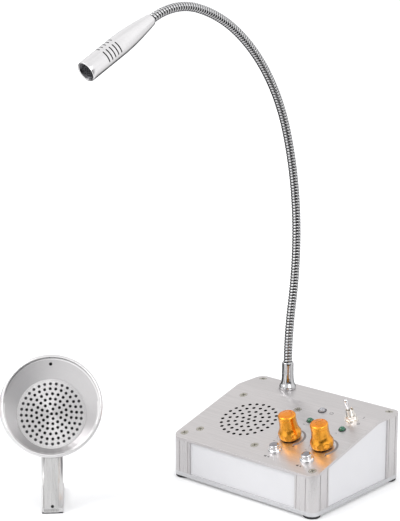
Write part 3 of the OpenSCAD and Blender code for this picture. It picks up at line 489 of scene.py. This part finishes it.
def cut(ob, cutter, sharp=40):
    """Takes the mesh cutter out of ob, both in the row frame."""
    me = bpy.data.meshes.new("cutter")
    bmesh.ops.recalc_face_normals(cutter, faces=cutter.faces)
    cutter.to_mesh(me)
    cutter.free()
    tool = bpy.data.objects.new("cutter", me)
    bpy.context.scene.collection.objects.link(tool)
    mod = ob.modifiers.new("cut", "BOOLEAN")
    mod.operation = "DIFFERENCE"
    mod.object = tool
    mod.solver = "EXACT"
    applied(ob)
    bpy.data.objects.remove(tool)
    bpy.data.meshes.remove(me)
    ob.data.shade_smooth()
    ob.data.set_sharp_from_angle(angle=math.radians(sharp))


def refined(node, name, body, mat, width):
    """A copy of a CAD solid with its sharp edges broken."""
    same, level, corner = 2e-6, math.radians(0.6), math.radians(38)
    bm = bmesh.new()
    bm.from_mesh(NODES[node].data)
    bmesh.ops.remove_doubles(bm, verts=bm.verts, dist=same)
    bmesh.ops.dissolve_limit(bm, angle_limit=level, verts=bm.verts, edges=bm.edges)
    edges = [e for e in bm.edges if len(e.link_faces) == 2 and e.calc_face_angle(0) > corner]
    bmesh.ops.bevel(bm, geom=edges, offset=width * MM, offset_type="OFFSET", segments=2,
                    profile=0.5, affect="EDGES", clamp_overlap=True)
    ob = finish_mesh(bm, name, None, mat, body, [node], sharp=50)
    normals = ob.modifiers.new("normals", "WEIGHTED_NORMAL")
    normals.keep_sharp = True
    normals.weight = 80
    applied(ob)


# ---------------------------------------------------------------- materials
M = {
    "panel": brushed("brushed panel", (0.64, 0.614, 0.614), 0.37, FLAT, aniso=0.6, shade=0.09),
    "base": brushed("base plate", (0.70, 0.70, 0.71), 0.34, WORLD),
    "post": brushed("extruded posts", (0.65, 0.63, 0.63), 0.30, WORLD, along=2, shade=0.04),
    "white": spotted("white plates", (0.79, 0.785, 0.80), 0.0, 0.42, shade=0.01, size=0.02,
                     bump=0.00001, bump_size=0.0009),
    "rubber": spotted("rubber", (0.025, 0.025, 0.027), 0.0, 0.75, bump=0.00004),
    "screw": spotted("screw heads", (0.46, 0.44, 0.39), 1.0, 0.26, size=0.0015, edge=0.00012),
    "chrome": spotted("chrome", (0.80, 0.80, 0.81), 1.0, 0.07, 0.03, shade=0.01),
    "ferrule": spotted("ferrule", (0.53, 0.53, 0.54), 1.0, 0.11, 0.03, shade=0.02),
    "neck": spotted("polished neck", (0.57, 0.57, 0.58), 1.0, 0.08, 0.03, shade=0.02),
    # near-black on the neck's grooves and the flanks beside them: painted shade between the ribs
    "groove": spotted("painted_shade groove", (0.012, 0.012, 0.013), 1.0, 0.5, shade=0.1),
    "nickel": spotted("nickel plate", (0.74, 0.71, 0.67), 1.0, 0.14, 0.05, shade=0.03,
                      edge=0.00015),
    "black_metal": spotted("black lacquer", (0.05, 0.05, 0.055), 0.2, 0.45, bump=0.00002),
    "paper": spotted("pressed paper", (0.03, 0.03, 0.032), 0.0, 0.9, bump=0.00006),
    "magnet": spotted("ferrite", (0.09, 0.09, 0.10), 0.0, 0.6, bump=0.00005),
    "board": spotted("solder mask", (0.02, 0.16, 0.06), 0.0, 0.35, shade=0.12, size=0.002),
    "nylon": spotted("nylon", (0.80, 0.78, 0.72), 0.0, 0.5, shade=0.02),
    "sink": brushed("black cooler", (0.05, 0.05, 0.055), 0.4, WORLD, along=2),
    "sleeve": spotted("capacitor sleeve", (0.03, 0.05, 0.16), 0.0, 0.25),
    "black": spotted("black plastic", (0.03, 0.03, 0.032), 0.0, 0.45, bump=0.00002),
    "cap_top": spotted("button face", (0.30, 0.29, 0.31), 1.0, 0.22, 0.04, shade=0.12,
                       size=0.003),
    "grey_ink": spotted("grey ink", (0.22, 0.21, 0.22), 0.0, 0.5, shade=0.12, size=0.0008),
    "ink": spotted("printed ink", (0.06, 0.055, 0.06), 0.0, 0.5, shade=0.2, size=0.0008),
    "mic": turned("microphone body", (0.82, 0.81, 0.82), 0.17, AT_MIC, 0.45),
    "mic_mesh": spotted("microphone grille", (0.10, 0.10, 0.11), 0.9, 0.35, size=0.001),
    # near-black for the two capsules, and painted shade in the slot sleeve and the stem's hole
    "hole": spotted("dark capsules_and_painted_hole_shade", (0.012, 0.012, 0.013), 0.0, 0.8),
    "dish": turned("turned dish", (0.58, 0.57, 0.575), 0.42, AT_DISH, 0.3),
    "lip": turned("polished lip", (0.76, 0.75, 0.755), 0.30, AT_DISH, 0.3),
    "disc": turned("turned grille", (0.63, 0.62, 0.625), 0.25, AT_DISH, 0.7,
                   centre=(0, -DISC_DROP)),
    "stem": brushed("brushed stem", (0.65, 0.645, 0.645), 0.3, AT_STEM, along=2),
    "orange": knob_metal("orange anodised", (0.92, 0.39, 0.036)),
    # the knobs' top face in a deeper orange than their sides: painted shade on the top
    "orange_painted_top_shade": knob_metal("orange anodised face", (0.86, 0.28, 0.02)),
    "green": lamp_plastic("green lens", (0.012, 0.16, 0.085)),
    "clear_lens": lamp_plastic("clear lens", (0.50, 0.50, 0.53)),
}
# painted shade on the hole walls of the station's grille and of the panel's grille
paint_hole_wall_shade(M["disc"], R_DISH.col[2], AT_DISH @ Vector((0, -DISC_DROP, -CONE_H)),
             DISC_HOLES_R)
paint_hole_wall_shade(M["panel"], NORMAL, on_slope(*GRILLE).translation, GRILLE_R)

# The CAD nodes that show as they are; pieces made below replace the others
NODE_MATERIALS = {
    "white": ["front_plate", "rear_plate", "left_plate", "right_plate"],
    "rubber": ["rubber_feet", "station_pad"],
    "screw": ["foot_screws", "panel_screws", "speaker_screws", "speaker_nuts",
              "station_screws"],
    "black_metal": ["speaker_frame", "station_speaker"],
    "paper": ["speaker_cone", "station_cone"], "magnet": ["speaker_magnet"],
    "board": ["circuit_board"], "nylon": ["board_standoffs"], "sink": ["heat_sink"],
    "sleeve": ["capacitors"],
    "nickel": ["pot_bodies", "pot_nuts", "pot_shaft_left", "pot_shaft_right",
               "toggle_washer", "neck_nut"],
    "black": ["button_switches", "power_jack", "station_jack"],
    "mic_mesh": ["mic_grille"], "hole": ["mic_capsule", "station_mic"],
    "disc": ["station_grille"],
}
for key, names in NODE_MATERIALS.items():
    for name in names:
        NODES[name].data.materials.clear()
        NODES[name].data.materials.append(M[key])


# ---------------------------------------------------------------- case
refined("top_panel", "panel", "case", M["panel"], 0.22)
refined("bottom_plate", "base", "case", M["base"], 0.4)
refined("front_posts", "posts_front", "case", M["post"], 0.12)
refined("rear_posts", "posts_rear", "case", M["post"], 0.12)

INK_TOP, INK_T = 0.02, 0.018


def ink_patch(bm, u, v, outline):
    m = on_slope(u, v, INK_TOP)
    top, low = [[bm.verts.new(m @ Vector((x, y, z))) for x, y in outline]
                for z in (0, -INK_T)]
    bm.faces.new(top)
    bm.faces.new(low[::-1])
    for k in range(len(top)):
        j = (k + 1) % len(top)
        bm.faces.new((top[k], low[k], low[j], top[j]))


def ink_bar(bm, u, v, w, length, turn=0.0):
    c, s = math.cos(math.radians(turn)), math.sin(math.radians(turn))
    corners = [(i * w / 2, j * length / 2) for i, j in ((-1, -1), (1, -1), (1, 1), (-1, 1))]
    ink_patch(bm, u, v, [(x * c - y * s, x * s + y * c) for x, y in corners])


def ink_arc(bm, u, v, r, a0, a1, w0, w1, steps=40):
    """A band that widens from w0 to w1, angles clockwise from straight up the slope."""
    outer, inner = [], []
    for k in range(steps + 1):
        t = k / steps
        a = math.radians(90 - (a0 + (a1 - a0) * t))
        w = w0 + (w1 - w0) * t
        outer.append(((r + w) * math.cos(a), (r + w) * math.sin(a)))
        inner.append((r * math.cos(a), r * math.sin(a)))
    m = on_slope(u, v, INK_TOP)
    rows = [[bm.verts.new(m @ Vector((x, y, z))) for x, y in points]
            for points, z in ((outer, 0), (inner, 0), (inner, -INK_T), (outer, -INK_T))]
    for i in range(4):
        a, b = rows[i], rows[(i + 1) % 4]
        for k in range(steps):
            bm.faces.new((a[k], a[k + 1], b[k + 1], b[k]))
    bm.faces.new([row[0] for row in rows])
    bm.faces.new([row[-1] for row in reversed(rows)])


def ink_ring(bm, u, v, r0, r1, steps=32):
    m = on_slope(u, v, INK_TOP)
    add_rings(bm, [[bm.verts.new(m @ Vector((r * math.cos(TAU * k / steps),
                                             r * math.sin(TAU * k / steps), z)))
                    for k in range(steps)]
                   for r, z in ((r1, 0), (r0, 0), (r0, -INK_T), (r1, -INK_T))], closed=True)


def make_print():
    """Generic marks on the panel: volume wedges, bars and rings. No lettering."""
    wedges, marks = bmesh.new(), bmesh.new()
    for u in COLUMNS.values():
        ink_arc(wedges, u, KNOB_V, 9.6, -135, 135, 0.12, 2.3)
        # a minus and a plus at the ends of the wedge
        ink_bar(marks, u - 8.4, KNOB_V - 8.6, 1.5, 0.35)
        ink_bar(marks, u + 8.9, KNOB_V - 8.9, 1.7, 0.4)
        ink_bar(marks, u + 8.9, KNOB_V - 8.9, 0.4, 1.7)
        # a cone and a cross under each button
        v = BUTTON_V - 8.4
        ink_patch(marks, u - 2.2, v, [(-1.0, -0.5), (-0.2, -0.5), (0.8, -1.3), (0.8, 1.3),
                                      (-0.2, 0.5), (-1.0, 0.5)])
        ink_bar(marks, u + 0.6, v, 0.35, 2.0, 45)
        ink_bar(marks, u + 0.6, v, 0.35, 2.0, -45)
        # a dash and a dot under each green lamp
        ink_bar(marks, u - 1.5, LAMP_V - 5.6, 1.6, 0.35)
        ink_bar(marks, u + 0.6, LAMP_V - 5.6, 0.35, 0.35)
    # a ring and a bar at the toggle switch's two ends
    ink_ring(marks, TOGGLE[0] + 8.2, TOGGLE[1] - 3.0, 0.75, 1.15)
    ink_bar(marks, TOGGLE[0] + 7.4, TOGGLE[1] + 5.4, 0.4, 2.2)
    # a broken ring and a bar beside the power lamp
    ink_arc(marks, POWER_LAMP[0] + 8.6, POWER_LAMP[1] - 0.3, 1.15, 35, 325, 0.35, 0.35, 24)
    ink_bar(marks, POWER_LAMP[0] + 8.6, POWER_LAMP[1] + 0.75, 0.35, 1.5)
    for bm, name, ink in ((marks, "panel_marks", "ink"), (wedges, "volume_wedges", "grey_ink")):
        finish_mesh(bm, name, None, M[ink], "case", sharp=None)


make_print()


# ---------------------------------------------------------------- knobs
# Profiles are points of radius and height in millimetres, from here on
SKIRT_R, SKIRT_H = 8.4, 5.0
FLUTE, FLUTE_R, FLUTE_OUT = TAU / 12, 5.6, 5.1


def knob_radius(h):
    """The cap over the skirt: it flares below and has a slight waist above."""
    fall = min(1, max(0, (10.5 - h) / 5.5))
    waist = math.sin(math.pi * min(1, max(0, (17.4 - h) / 6.9)))
    return 6.5 - 0.25 * waist + 1.9 * (1 - math.cos(math.pi / 2 * fall))


def fluted(a, r, z):
    """The skirt's radius at the angle a, with twelve hollow flutes."""
    if r < 7 or z > 9:
        return r
    t = (a + FLUTE / 2) % FLUTE - FLUTE / 2
    d = SKIRT_R + FLUTE_OUT
    s = FLUTE_R ** 2 - (d * math.sin(t)) ** 2
    return min(r, d * math.cos(t) - math.sqrt(s)) if s > 0 else r


def make_knob(side):
    """Turned cap with a wide skirt of twelve hollow flutes, open below for the nut."""
    place = on_slope(COLUMNS[side], KNOB_V)
    outside = rounded_profile([(6.6, 0.7), (SKIRT_R - 1.15, 0.7), (SKIRT_R - 0.25, 1.75),
                               (SKIRT_R, SKIRT_H)], 0.25, 2)
    for k in range(1, 31):
        h = SKIRT_H + 0.35 * k
        outside.append((knob_radius(h), h))
    outside += [(6.36, 16.0), (6.36, 16.2), (6.22, 16.28), (6.22, 16.42), (6.38, 16.5),
                (6.42, 17.2)]
    outside += rounded_profile([(6.45, 17.6), (6.5, 18.55), (5.7, 19.4), (4.9, 19.4)], 0.3, 3)
    outside += [(4.8, 19.34), (4.7, 19.4), (2.0, 19.4), (0, 19.4)]
    inside = [(6.6, 5.0), (6.4, 5.2), (3.02, 5.2), (3.02, 15.4), (0, 15.4)]
    bm = bmesh.new()
    lathe(bm, outside, 240, fluted)
    lathe(bm, inside, 240)
    bmesh.ops.remove_doubles(bm, verts=bm.verts, dist=0.0005)
    # the top face takes the deeper orange copy, painted shade
    for f in bm.faces:
        f.material_index = int(f.calc_center_median().z > 19.2)
    ob = finish_mesh(bm, "knob_" + side, place, M["orange"], "volume_" + side,
                     ["volume_knob_" + side], sharp=40)
    ob.data.materials.append(M["orange_painted_top_shade"])
    # a pointer groove across the face's edge
    groove = bmesh.new()
    add_box(groove, (-0.4, 3.5, 18.8), (0.4, 7.5, 20.4))
    groove.transform(place)
    cut(ob, groove)


# ---------------------------------------------------------------- buttons
def make_button(side):
    place = on_slope(COLUMNS[side], BUTTON_V)
    bm = bmesh.new()
    bezel = [(3.68, -7.0), (4.2, -7.0), (4.2, 0.0), (5.1, 0.0), (5.1, 0.5), (4.95, 1.2),
             (4.5, 1.9), (4.1, 2.2), (3.68, 2.2)]
    lathe(bm, rounded_profile(bezel, 0.3, 3, ends=True), 96, closed=True)
    finish_mesh(bm, "bezel_" + side, place, M["chrome"], "case", ["button_bezels"],
                sharp=40)
    bm = bmesh.new()
    cap = [(0, -10.6), (1.5, -10.6), (1.5, -1.6), (3.6, -1.6), (3.6, 4.3), (3.3, 5.0),
           (2.5, 5.33), (1.2, 5.4), (0, 5.4)]
    lathe(bm, rounded_profile(cap, 0.35, 3), 96)
    for f in bm.faces:
        f.material_index = int(f.calc_center_median().z > 4.95)
    ob = finish_mesh(bm, "button_" + side, place, M["chrome"], "mute_" + side,
                     ["mute_button_" + side], sharp=40)
    ob.data.materials.append(M["cap_top"])


for side in COLUMNS:
    make_knob(side)
for side in COLUMNS:
    make_button(side)


# ---------------------------------------------------------------- toggle switch
NUT_AF, NUT_BORE, NUT_Z0, NUT_Z1, NUT_CHAMFER = 8, 3.05, 0.5, 3.7, 0.35
THREAD_R, THREAD_PITCH, THREAD_TOP = 3.0, 0.5, 8.0


def make_toggle():
    def six_sided(a, r, z):
        if r <= NUT_BORE + 0.01:
            return r
        return min(r, NUT_AF / 2 / math.cos(a % (TAU / 6) - TAU / 12))

    corner = NUT_AF / 2 / math.cos(TAU / 12)
    nut = [(NUT_BORE, NUT_Z0), (NUT_AF / 2 - 0.05, NUT_Z0), (corner, NUT_Z0 + NUT_CHAMFER),
           (corner, NUT_Z1 - NUT_CHAMFER), (NUT_AF / 2 - 0.05, NUT_Z1), (NUT_BORE, NUT_Z1)]
    bm = bmesh.new()
    lathe(bm, nut, 144, six_sided, closed=True)
    finish_mesh(bm, "toggle_collar", AT_TOGGLE, M["nickel"], "case", ["toggle_nut"],
                sharp=25)

    bushing = [(0, -2.0), (THREAD_R, -2.0), (THREAD_R, 0.5), (THREAD_R, 3.9)]
    z = NUT_Z1
    while z < THREAD_TOP:
        bushing += [(THREAD_R - 0.18, z + THREAD_PITCH / 2), (THREAD_R, z + THREAD_PITCH)]
        z += THREAD_PITCH
    bushing += [(2.85, 8.4), (2.75, 8.4), (2.5, 8.0), (2.5, 0.4), (0, 0.4)]
    bm = bmesh.new()
    lathe(bm, bushing, 72)
    add_box(bm, (-4, -5.3, -12), (4, 5.3, -2))
    finish_mesh(bm, "toggle_bushing", AT_TOGGLE, M["nickel"], "case", ["toggle_switch"],
                sharp=40)

    bat = [(0, -2.2), (1.2, -2.1), (2.1, -1.2), (2.42, 0), (2.1, 1.2), (1.4, 2.0), (1.0, 2.6),
           (0.92, 4), (1.05, 6.5), (1.3, 9.5), (1.5, 12.2), (1.52, 13.2), (1.35, 14.0),
           (0.9, 14.45), (0.4, 14.6), (0, 14.6)]
    bm = bmesh.new()
    lathe(bm, bat, 48)
    pivot, tilt = Matrix.Translation((0, 0, 4)), Matrix.Rotation(math.radians(12), 4, "X")
    finish_mesh(bm, "toggle_bat", AT_TOGGLE @ pivot @ tilt, M["chrome"], "toggle",
                ["toggle_lever"], sharp=60)


make_toggle()


# ---------------------------------------------------------------- lamps
LENS_R, LENS_H = 2.5, 2.3


def make_lamp(u, v, mat, name, node, slot, rim=2.9):
    points = [(0, -7.0), (LENS_R, -7.0), (LENS_R, -3.0), (2.9, -3.0), (2.9, -2.0),
              (LENS_R, -2.0), (LENS_R, 0.1)]
    for k in range(1, 10):
        a = math.radians(9 * k)
        points.append((LENS_R * math.cos(a), 0.1 + LENS_H * math.sin(a)))
    points.append((0, 0.1 + LENS_H))
    bm = bmesh.new()
    lathe(bm, points, 64)
    finish_mesh(bm, name, on_slope(u, v), mat, "case", [node], sharp=50)
    ring = [(2.56, -0.05), (rim, -0.05), (rim, 0.12), (rim - 0.2, 0.3), (2.56, 0.3)]
    bm = bmesh.new()
    lathe(bm, rounded_profile(ring, 0.08, 2, ends=True), 64, closed=True)
    finish_mesh(bm, name + "_rim", on_slope(u, v), M["ink"], "case", sharp=50)


make_lamp(COLUMNS["left"], LAMP_V, M["green"], "lamp_left", "green_lamps", "lamp_green")
make_lamp(COLUMNS["right"], LAMP_V, M["green"], "lamp_right", "green_lamps", "lamp_green")
make_lamp(*POWER_LAMP, M["clear_lens"], "lamp_power", "power_lamp", "lamp_dark", 3.3)


# ---------------------------------------------------------------- gooseneck
def make_ferrule():
    foot = [(1.7, -10.0), (4.1, -10.0), (4.1, 0.0), (6.5, 0.0), (6.5, 1.0), (6.35, 2.0),
            (5.9, 3.0), (5.2, 4.2), (4.75, 6.0), (4.45, 8.5), (4.3, 11.5), (4.3, 19.2),
            (4.15, 20.4), (3.7, 20.8), (3.3, 20.8), (3.3, 20.5), (2.75, 20.5), (2.75, 13.8),
            (1.7, 13.8)]
    bm = bmesh.new()
    lathe(bm, rounded_profile(foot, 0.5, 4, ends=True), 96, closed=True)
    finish_mesh(bm, "ferrule", frame_of((NECK_X, NECK_Y, REAR_Z + PANEL_T)), M["ferrule"],
                "case", ["neck_ferrule"], sharp=50)


RIBS = 20                           # turns of the rib along one link
PITCH = LINK / RIBS
STEPS, SIDES = 10, 30               # rings to one turn, and vertices to a ring
PAINTED_SHADE_RINGS = (0, 1, 2, STEPS - 1)         # rings whose faces take the painted shade: the groove and the flanks beside it


def rib(p):
    """Radius over one turn of the ribbed tube, grooves at p = 0."""
    return 2.62 + 0.56 * math.sin(math.pi * p) ** 0.35


def neck_ring(bm, k):
    """Vertices of ring k. They climb by one turn of the rib, as a winding does."""
    ring = []
    for j in range(SIDES):
        p, along, across = neck_at((k / STEPS + j / SIDES) * PITCH)
        a = TAU * j / SIDES
        p = p + (across * math.cos(a) + SIDE * math.sin(a)) * rib((k / STEPS) % 1.0)
        ring.append(bm.verts.new(p * MM))
    return ring


def make_neck():
    """A tube wound with one continuous rib, in stretches that meet halfway along a link."""
    marks = [-2 * PITCH] + [LINK * i + RIBS / 2 * PITCH for i in range(LINKS)]
    marks.append(LINKS * LINK + 2 * PITCH)
    for s in range(LINKS + 1):
        bm = bmesh.new()
        first, last = (round(mark / PITCH * STEPS) for mark in marks[s:s + 2])
        rings = [neck_ring(bm, k) for k in range(first, last + 1)]
        for i, (a, b) in enumerate(zip(rings, rings[1:])):
            quads = [(a[j], a[j + 1], b[j + 1], b[j]) for j in range(SIDES - 1)]
            # the last side of a ring meets the first of the ring one turn further on
            if i + STEPS + 1 < len(rings):
                quads.append((a[-1], rings[i + STEPS][0], rings[i + STEPS + 1][0], b[-1]))
            # faces of the groove and its flanks take the near-black material, painted shade
            for quad in quads:
                bm.faces.new(quad).material_index = int((first + i) % STEPS in PAINTED_SHADE_RINGS)
        replaced = "neck_link_%d" % min(s, LINKS - 1) if s else "neck_base"
        end_body = {0: "case", LINKS: "neck_7"}.get(s)
        ob = finish_mesh(bm, "gooseneck_%d" % s, None, M["neck"], end_body, [replaced],
                         sharp=70)
        ob.data.materials.append(M["groove"])
        if not end_body:
            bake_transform(ob)


make_ferrule()
make_neck()


# ---------------------------------------------------------------- microphone
SLOTS, SLOT_PITCH, SLOT_W = 5, 2.9, 0.9
SLOT_TURN, SLOT_SPREAD = 21, 32     # degrees to a slot's middle, and each way from it
SLOT_LAST = MIC_LEN - 15.5


def mic_slot(bm, z, middle, steps=30):
    """The cutter of a slot with round ends, from inside the wall to outside it."""
    half, spread = SLOT_W / 2, math.radians(SLOT_SPREAD)
    end = half / MIC_R
    rows = []
    for i in range(steps + 1):
        t = (2 * i / steps - 1) * (spread + end)
        over = max(0.0, abs(t) - spread) / end
        h = max(half * math.sqrt(max(0.0, 1 - over * over)), 0.03)
        a = middle + t
        rows.append([bm.verts.new((r * math.cos(a), r * math.sin(a), z + dz))
                     for r, dz in ((5.3, -h), (7.8, -h), (7.8, h), (5.3, h))])
    for a, b in zip(rows, rows[1:]):
        for i in range(4):
            j = (i + 1) % 4
            bm.faces.new((a[i], a[j], b[j], b[i]))
    bm.faces.new(rows[0][::-1])
    bm.faces.new(rows[-1])


def make_mic():
    outside = [(3.0, 0.0), (3.8, 0.0), (MIC_NECK_R, 0.25)]
    for k in range(2, 41):
        swell = (MIC_R - MIC_NECK_R) * math.sin(math.pi / 2 * k / 40)
        outside.append((MIC_NECK_R + swell, MIC_TAPER * k / 40))
    outside += [(MIC_R, 45.0), (MIC_R, 60.0), (MIC_R, 62.9), (6.95, 63.35), (6.6, MIC_LEN),
                (6.2, MIC_LEN)]
    inside = [(5.95, 63.3), (5.9, 62.9), (5.9, 40.0), (5.9, 28.5), (4.4, 25.5), (1.5, 25.5),
              (1.5, 5.2), (2.7, 5.2)]
    bm = bmesh.new()
    lathe(bm, outside + inside, 160, closed=True)
    ob = finish_mesh(bm, "microphone", AT_MIC, M["mic"], "neck_7", ["mic_body"],
                     sharp=40)
    slots = bmesh.new()
    for k in range(SLOTS):
        for quarter in range(4):
            mic_slot(slots, SLOT_LAST - SLOT_PITCH * k, math.radians(90 * quarter + SLOT_TURN))
    slots.transform(AT_MIC)
    cut(ob, slots)
    # a near-black sleeve behind the slots: painted shade seen through them
    bm = bmesh.new()
    lathe(bm, [(5.84, 30.0), (5.84, 54.5), (5.5, 54.5), (5.5, 30.0)], 96, closed=True)
    finish_mesh(bm, "microphone_slot_shade", AT_MIC, M["hole"], "neck_7", sharp=40)


make_mic()


# ---------------------------------------------------------------- outside station
def make_dish():
    bore = DISC_R - DISC_SEAT
    back_r, back_z = bore + DISC_DROP + 3.6, -DISH_H + 0.5
    rim = rounded_profile([(DISH_R - 1.4, -6.0), (DISH_R, -2.9), (DISH_R, -1.0),
                           (DISH_R - 1.1, 0.0), (DISH_R - LIP, -0.15)], 0.7, 4)
    rings = [(back_r - 0.8, -DISH_H, 0, 0), (back_r, back_z, 0, 0)]
    for t in (0.25, 0.5, 0.75):
        rings.append((back_r + (DISH_R - 1.4 - back_r) * t, back_z + (DISH_H - 6.5) * t, 0, 0))
    rings += [(r, z, 0, 0) for r, z in rim]
    r0, z0 = rim[-1]
    for k in range(1, 13):          # the cone runs in to the disc, off centre
        t = k / 12
        rings.append((r0 + (DISC_R + 0.1 - r0) * t, z0 + (-CONE_H - z0) * t, 0,
                      -DISC_DROP * t))
    rings += [(DISC_R + 0.05, -CONE_H - 1.2, 0, -DISC_DROP), (bore, -CONE_H - 1.2, 0, -DISC_DROP),
              (bore, -DISH_H, 0, -DISC_DROP)]
    bm = bmesh.new()
    lathe(bm, rings, 180, closed=True)
    for f in bm.faces:
        c = f.calc_center_median()
        f.material_index = int(c.z > -4.0 and math.hypot(c.x, c.y) > DISH_R - 3.4)
    ob = finish_mesh(bm, "dish", AT_DISH, M["dish"], "station", ["station_dish"],
                     sharp=40)
    ob.data.materials.append(M["lip"])
    # the port of the station's microphone
    port = bmesh.new()
    lathe(port, [(0, -19.0), (1.15, -19.0), (1.15, 2.0), (0, 2.0)], 40,
          centre=(0, DISH_R - LIP - 4.2))
    port.transform(AT_DISH)
    cut(ob, port)


def make_stem_hole():
    """A near-black cylinder in the hole near the stem's foot: painted shade for the hole's depth.
    """
    bm = bmesh.new()
    lathe(bm, [(0, 0.5), (1.09, 0.5), (1.09, 2.8), (0, 2.8)], 32)
    bm.transform(Matrix.Rotation(math.radians(-90), 4, "X"))
    finish_mesh(bm, "stem_hole", frame_of(STEM_O + R_STEM @ Vector((0, 4, 2.4)), *R_STEM.col),
                M["hole"], "station")


make_dish()
refined("station_stem", "stem", "station", M["stem"], 0.15)
make_stem_hole()
refined("station_cover", "cover", "station", M["dish"], 0.2)


# ---------------------------------------------------------------- stage
CAMERA_AT, CAMERA_TURN, CAMERA_DOWN = (0.66742, -0.85889, 0.42774), 41.16, 13.67
PICTURE_H, FOCAL, SENSOR = 521, 1575.12, 36.0       # pixels, pixels, millimetres
# What gloss sees at the object's own height, as (turn, level). The camera's own direction
# is at 0.5, and a full turn is 1
STUDIO = [(0.00, 0.08), (0.19, 0.08), (0.24, 0.5), (0.28, 1.3), (0.40, 1.3), (0.43, 0.3),
          (0.445, 0.04), (0.635, 0.04), (0.67, 0.5), (0.71, 1.1), (0.80, 0.9), (0.86, 0.7),
          (0.90, 0.3), (0.94, 0.08), (1.0, 0.08)]


def studio_turn(t, vector):
    """The turn of a direction or a place round the object, and its height."""
    xyz = t.new("ShaderNodeSeparateXYZ")
    t.link(vector, xyz.inputs[0])
    azimuth = t.math("ARCTAN2", xyz.outputs[0], t.math("MULTIPLY", xyz.outputs[1], -1.0))
    turn = t.math("ADD", t.math("DIVIDE", azimuth, TAU), 1.5 - CAMERA_TURN / 360)
    return t.math("FRACT", turn), xyz.outputs[2]


def floor_material():
    mat = bpy.data.materials.new("floor")
    t = Tree(mat, clear=True)
    table = t.new("ShaderNodeBsdfPrincipled")
    table.inputs["Base Color"].default_value = (0.86, 0.86, 0.86, 1)
    table.inputs["Roughness"].default_value = 0.8
    table.inputs["Specular IOR Level"].default_value = 0.2
    place = t.coords()
    away = t.vmath("LENGTH", place, out="Value")
    path = t.new("ShaderNodeLightPath").outputs
    # gloss sees a table that ends, and the studio's sides beyond it
    turn, _ = studio_turn(t, place)
    sides = t.shader("ShaderNodeEmission", t.ramp(turn, STUDIO))
    beyond = t.math("MULTIPLY", t.range(away, 0, 1, 0.16, 0.24), path["Is Glossy Ray"])
    seen = t.mix_shader(beyond, table.outputs[0], sides)
    # the camera sees it fade to white
    glow = t.shader("ShaderNodeEmission", (1, 1, 1, 1), t.range(away, 0.2, 0.6, 0.25, 1.6))
    pale = t.new("ShaderNodeAddShader")
    t.link(table.outputs[0], pale.inputs[0])
    t.link(glow, pale.inputs[1])
    mixed = t.mix_shader(path["Is Camera Ray"], seen, pale.outputs[0])
    t.link(mixed, t.new("ShaderNodeOutputMaterial").inputs[0])
    return mat


def make_floor():
    bm = bmesh.new()
    sides = 64
    rings = [[bm.verts.new((0, 0, 0))]]
    for r in (0.4, 1.2, 3.0, 9.0):
        rings.append([bm.verts.new((r * math.cos(TAU * k / sides), r * math.sin(TAU * k / sides),
                                    0)) for k in range(sides)])
    add_rings(bm, rings)
    finish_mesh(bm, "floor", None, floor_material(), None, sharp=None)


def make_world():
    """White behind everything; what gloss sees is a studio with bright and dark sides."""
    world = bpy.data.worlds.new("studio")
    bpy.context.scene.world = world
    t = Tree(world, clear=True)
    turn, height = studio_turn(t, t.coords("Generated"))
    around = t.ramp(turn, STUDIO)
    ceiling = t.ramp(height, [(0.0, 0.80), (0.3, 1.0), (0.62, 1.0), (1.0, 0.95)])
    dome = t.math("ADD", t.math("MULTIPLY", around, 0.12), ceiling)
    high = t.ramp(t.math("ADD", t.math("MULTIPLY", height, 0.5), 0.5),
                  [(0.0, 0.8), (0.5, 0.0), (0.54, 0.0), (0.63, 1.0), (1.0, 1.0)])
    soft = t.shader("ShaderNodeBackground", (0.96, 0.97, 1.0, 1), 0.62)
    gloss = t.shader("ShaderNodeBackground", t.mix(high, around, dome))
    white = t.shader("ShaderNodeBackground", (1, 1, 1, 1))
    path = t.new("ShaderNodeLightPath").outputs
    shiny = t.math("MAXIMUM", path["Is Glossy Ray"], path["Is Transmission Ray"])
    lit = t.mix_shader(shiny, soft, gloss)
    t.link(t.mix_shader(path["Is Camera Ray"], lit, white),
           t.new("ShaderNodeOutputWorld").inputs[0])


def make_lamp_panel(name, place, target, size, power, mirrored=True):
    """A square studio lamp. Metal shows its mirror image only if it is mirrored."""
    data = bpy.data.lights.new(name, "AREA")
    data.shape = "RECTANGLE"
    data.size = data.size_y = size
    data.energy = power
    ob = bpy.data.objects.new(name, data)
    bpy.context.scene.collection.objects.link(ob)
    ob.location = place
    ob.rotation_euler = (Vector(target) - Vector(place)).to_track_quat("-Z", "Y").to_euler()
    ob.visible_glossy = mirrored


def make_camera():
    scene = bpy.context.scene
    scene.view_settings.view_transform = "Standard"
    cam = bpy.data.cameras.new("camera")
    cam.sensor_width = SENSOR
    cam.lens = FOCAL / PICTURE_H * SENSOR
    cam.clip_start, cam.clip_end = 0.05, 50
    eye = bpy.data.objects.new("camera", cam)
    scene.collection.objects.link(eye)
    eye.location = CAMERA_AT
    down, turn = math.radians(CAMERA_DOWN), math.radians(CAMERA_TURN)
    look = Vector((-math.sin(turn) * math.cos(down), math.cos(turn) * math.cos(down),
                   -math.sin(down)))
    eye.rotation_euler = look.to_track_quat("-Z", "Y").to_euler()
    scene.camera = eye


make_floor()
make_world()
make_lamp_panel("key", (-1.1, -1.5, 1.9), (0, 0, 0.1), 1.4, 26)
make_lamp_panel("fill", (1.9, -0.7, 1.2), (0, 0, 0.1), 1.2, 12)
# level metal would mirror the lamp overhead as plain white
make_lamp_panel("top", (0.1, 0.5, 2.2), (0, 0, 0), 1.8, 16, mirrored=False)
make_camera()
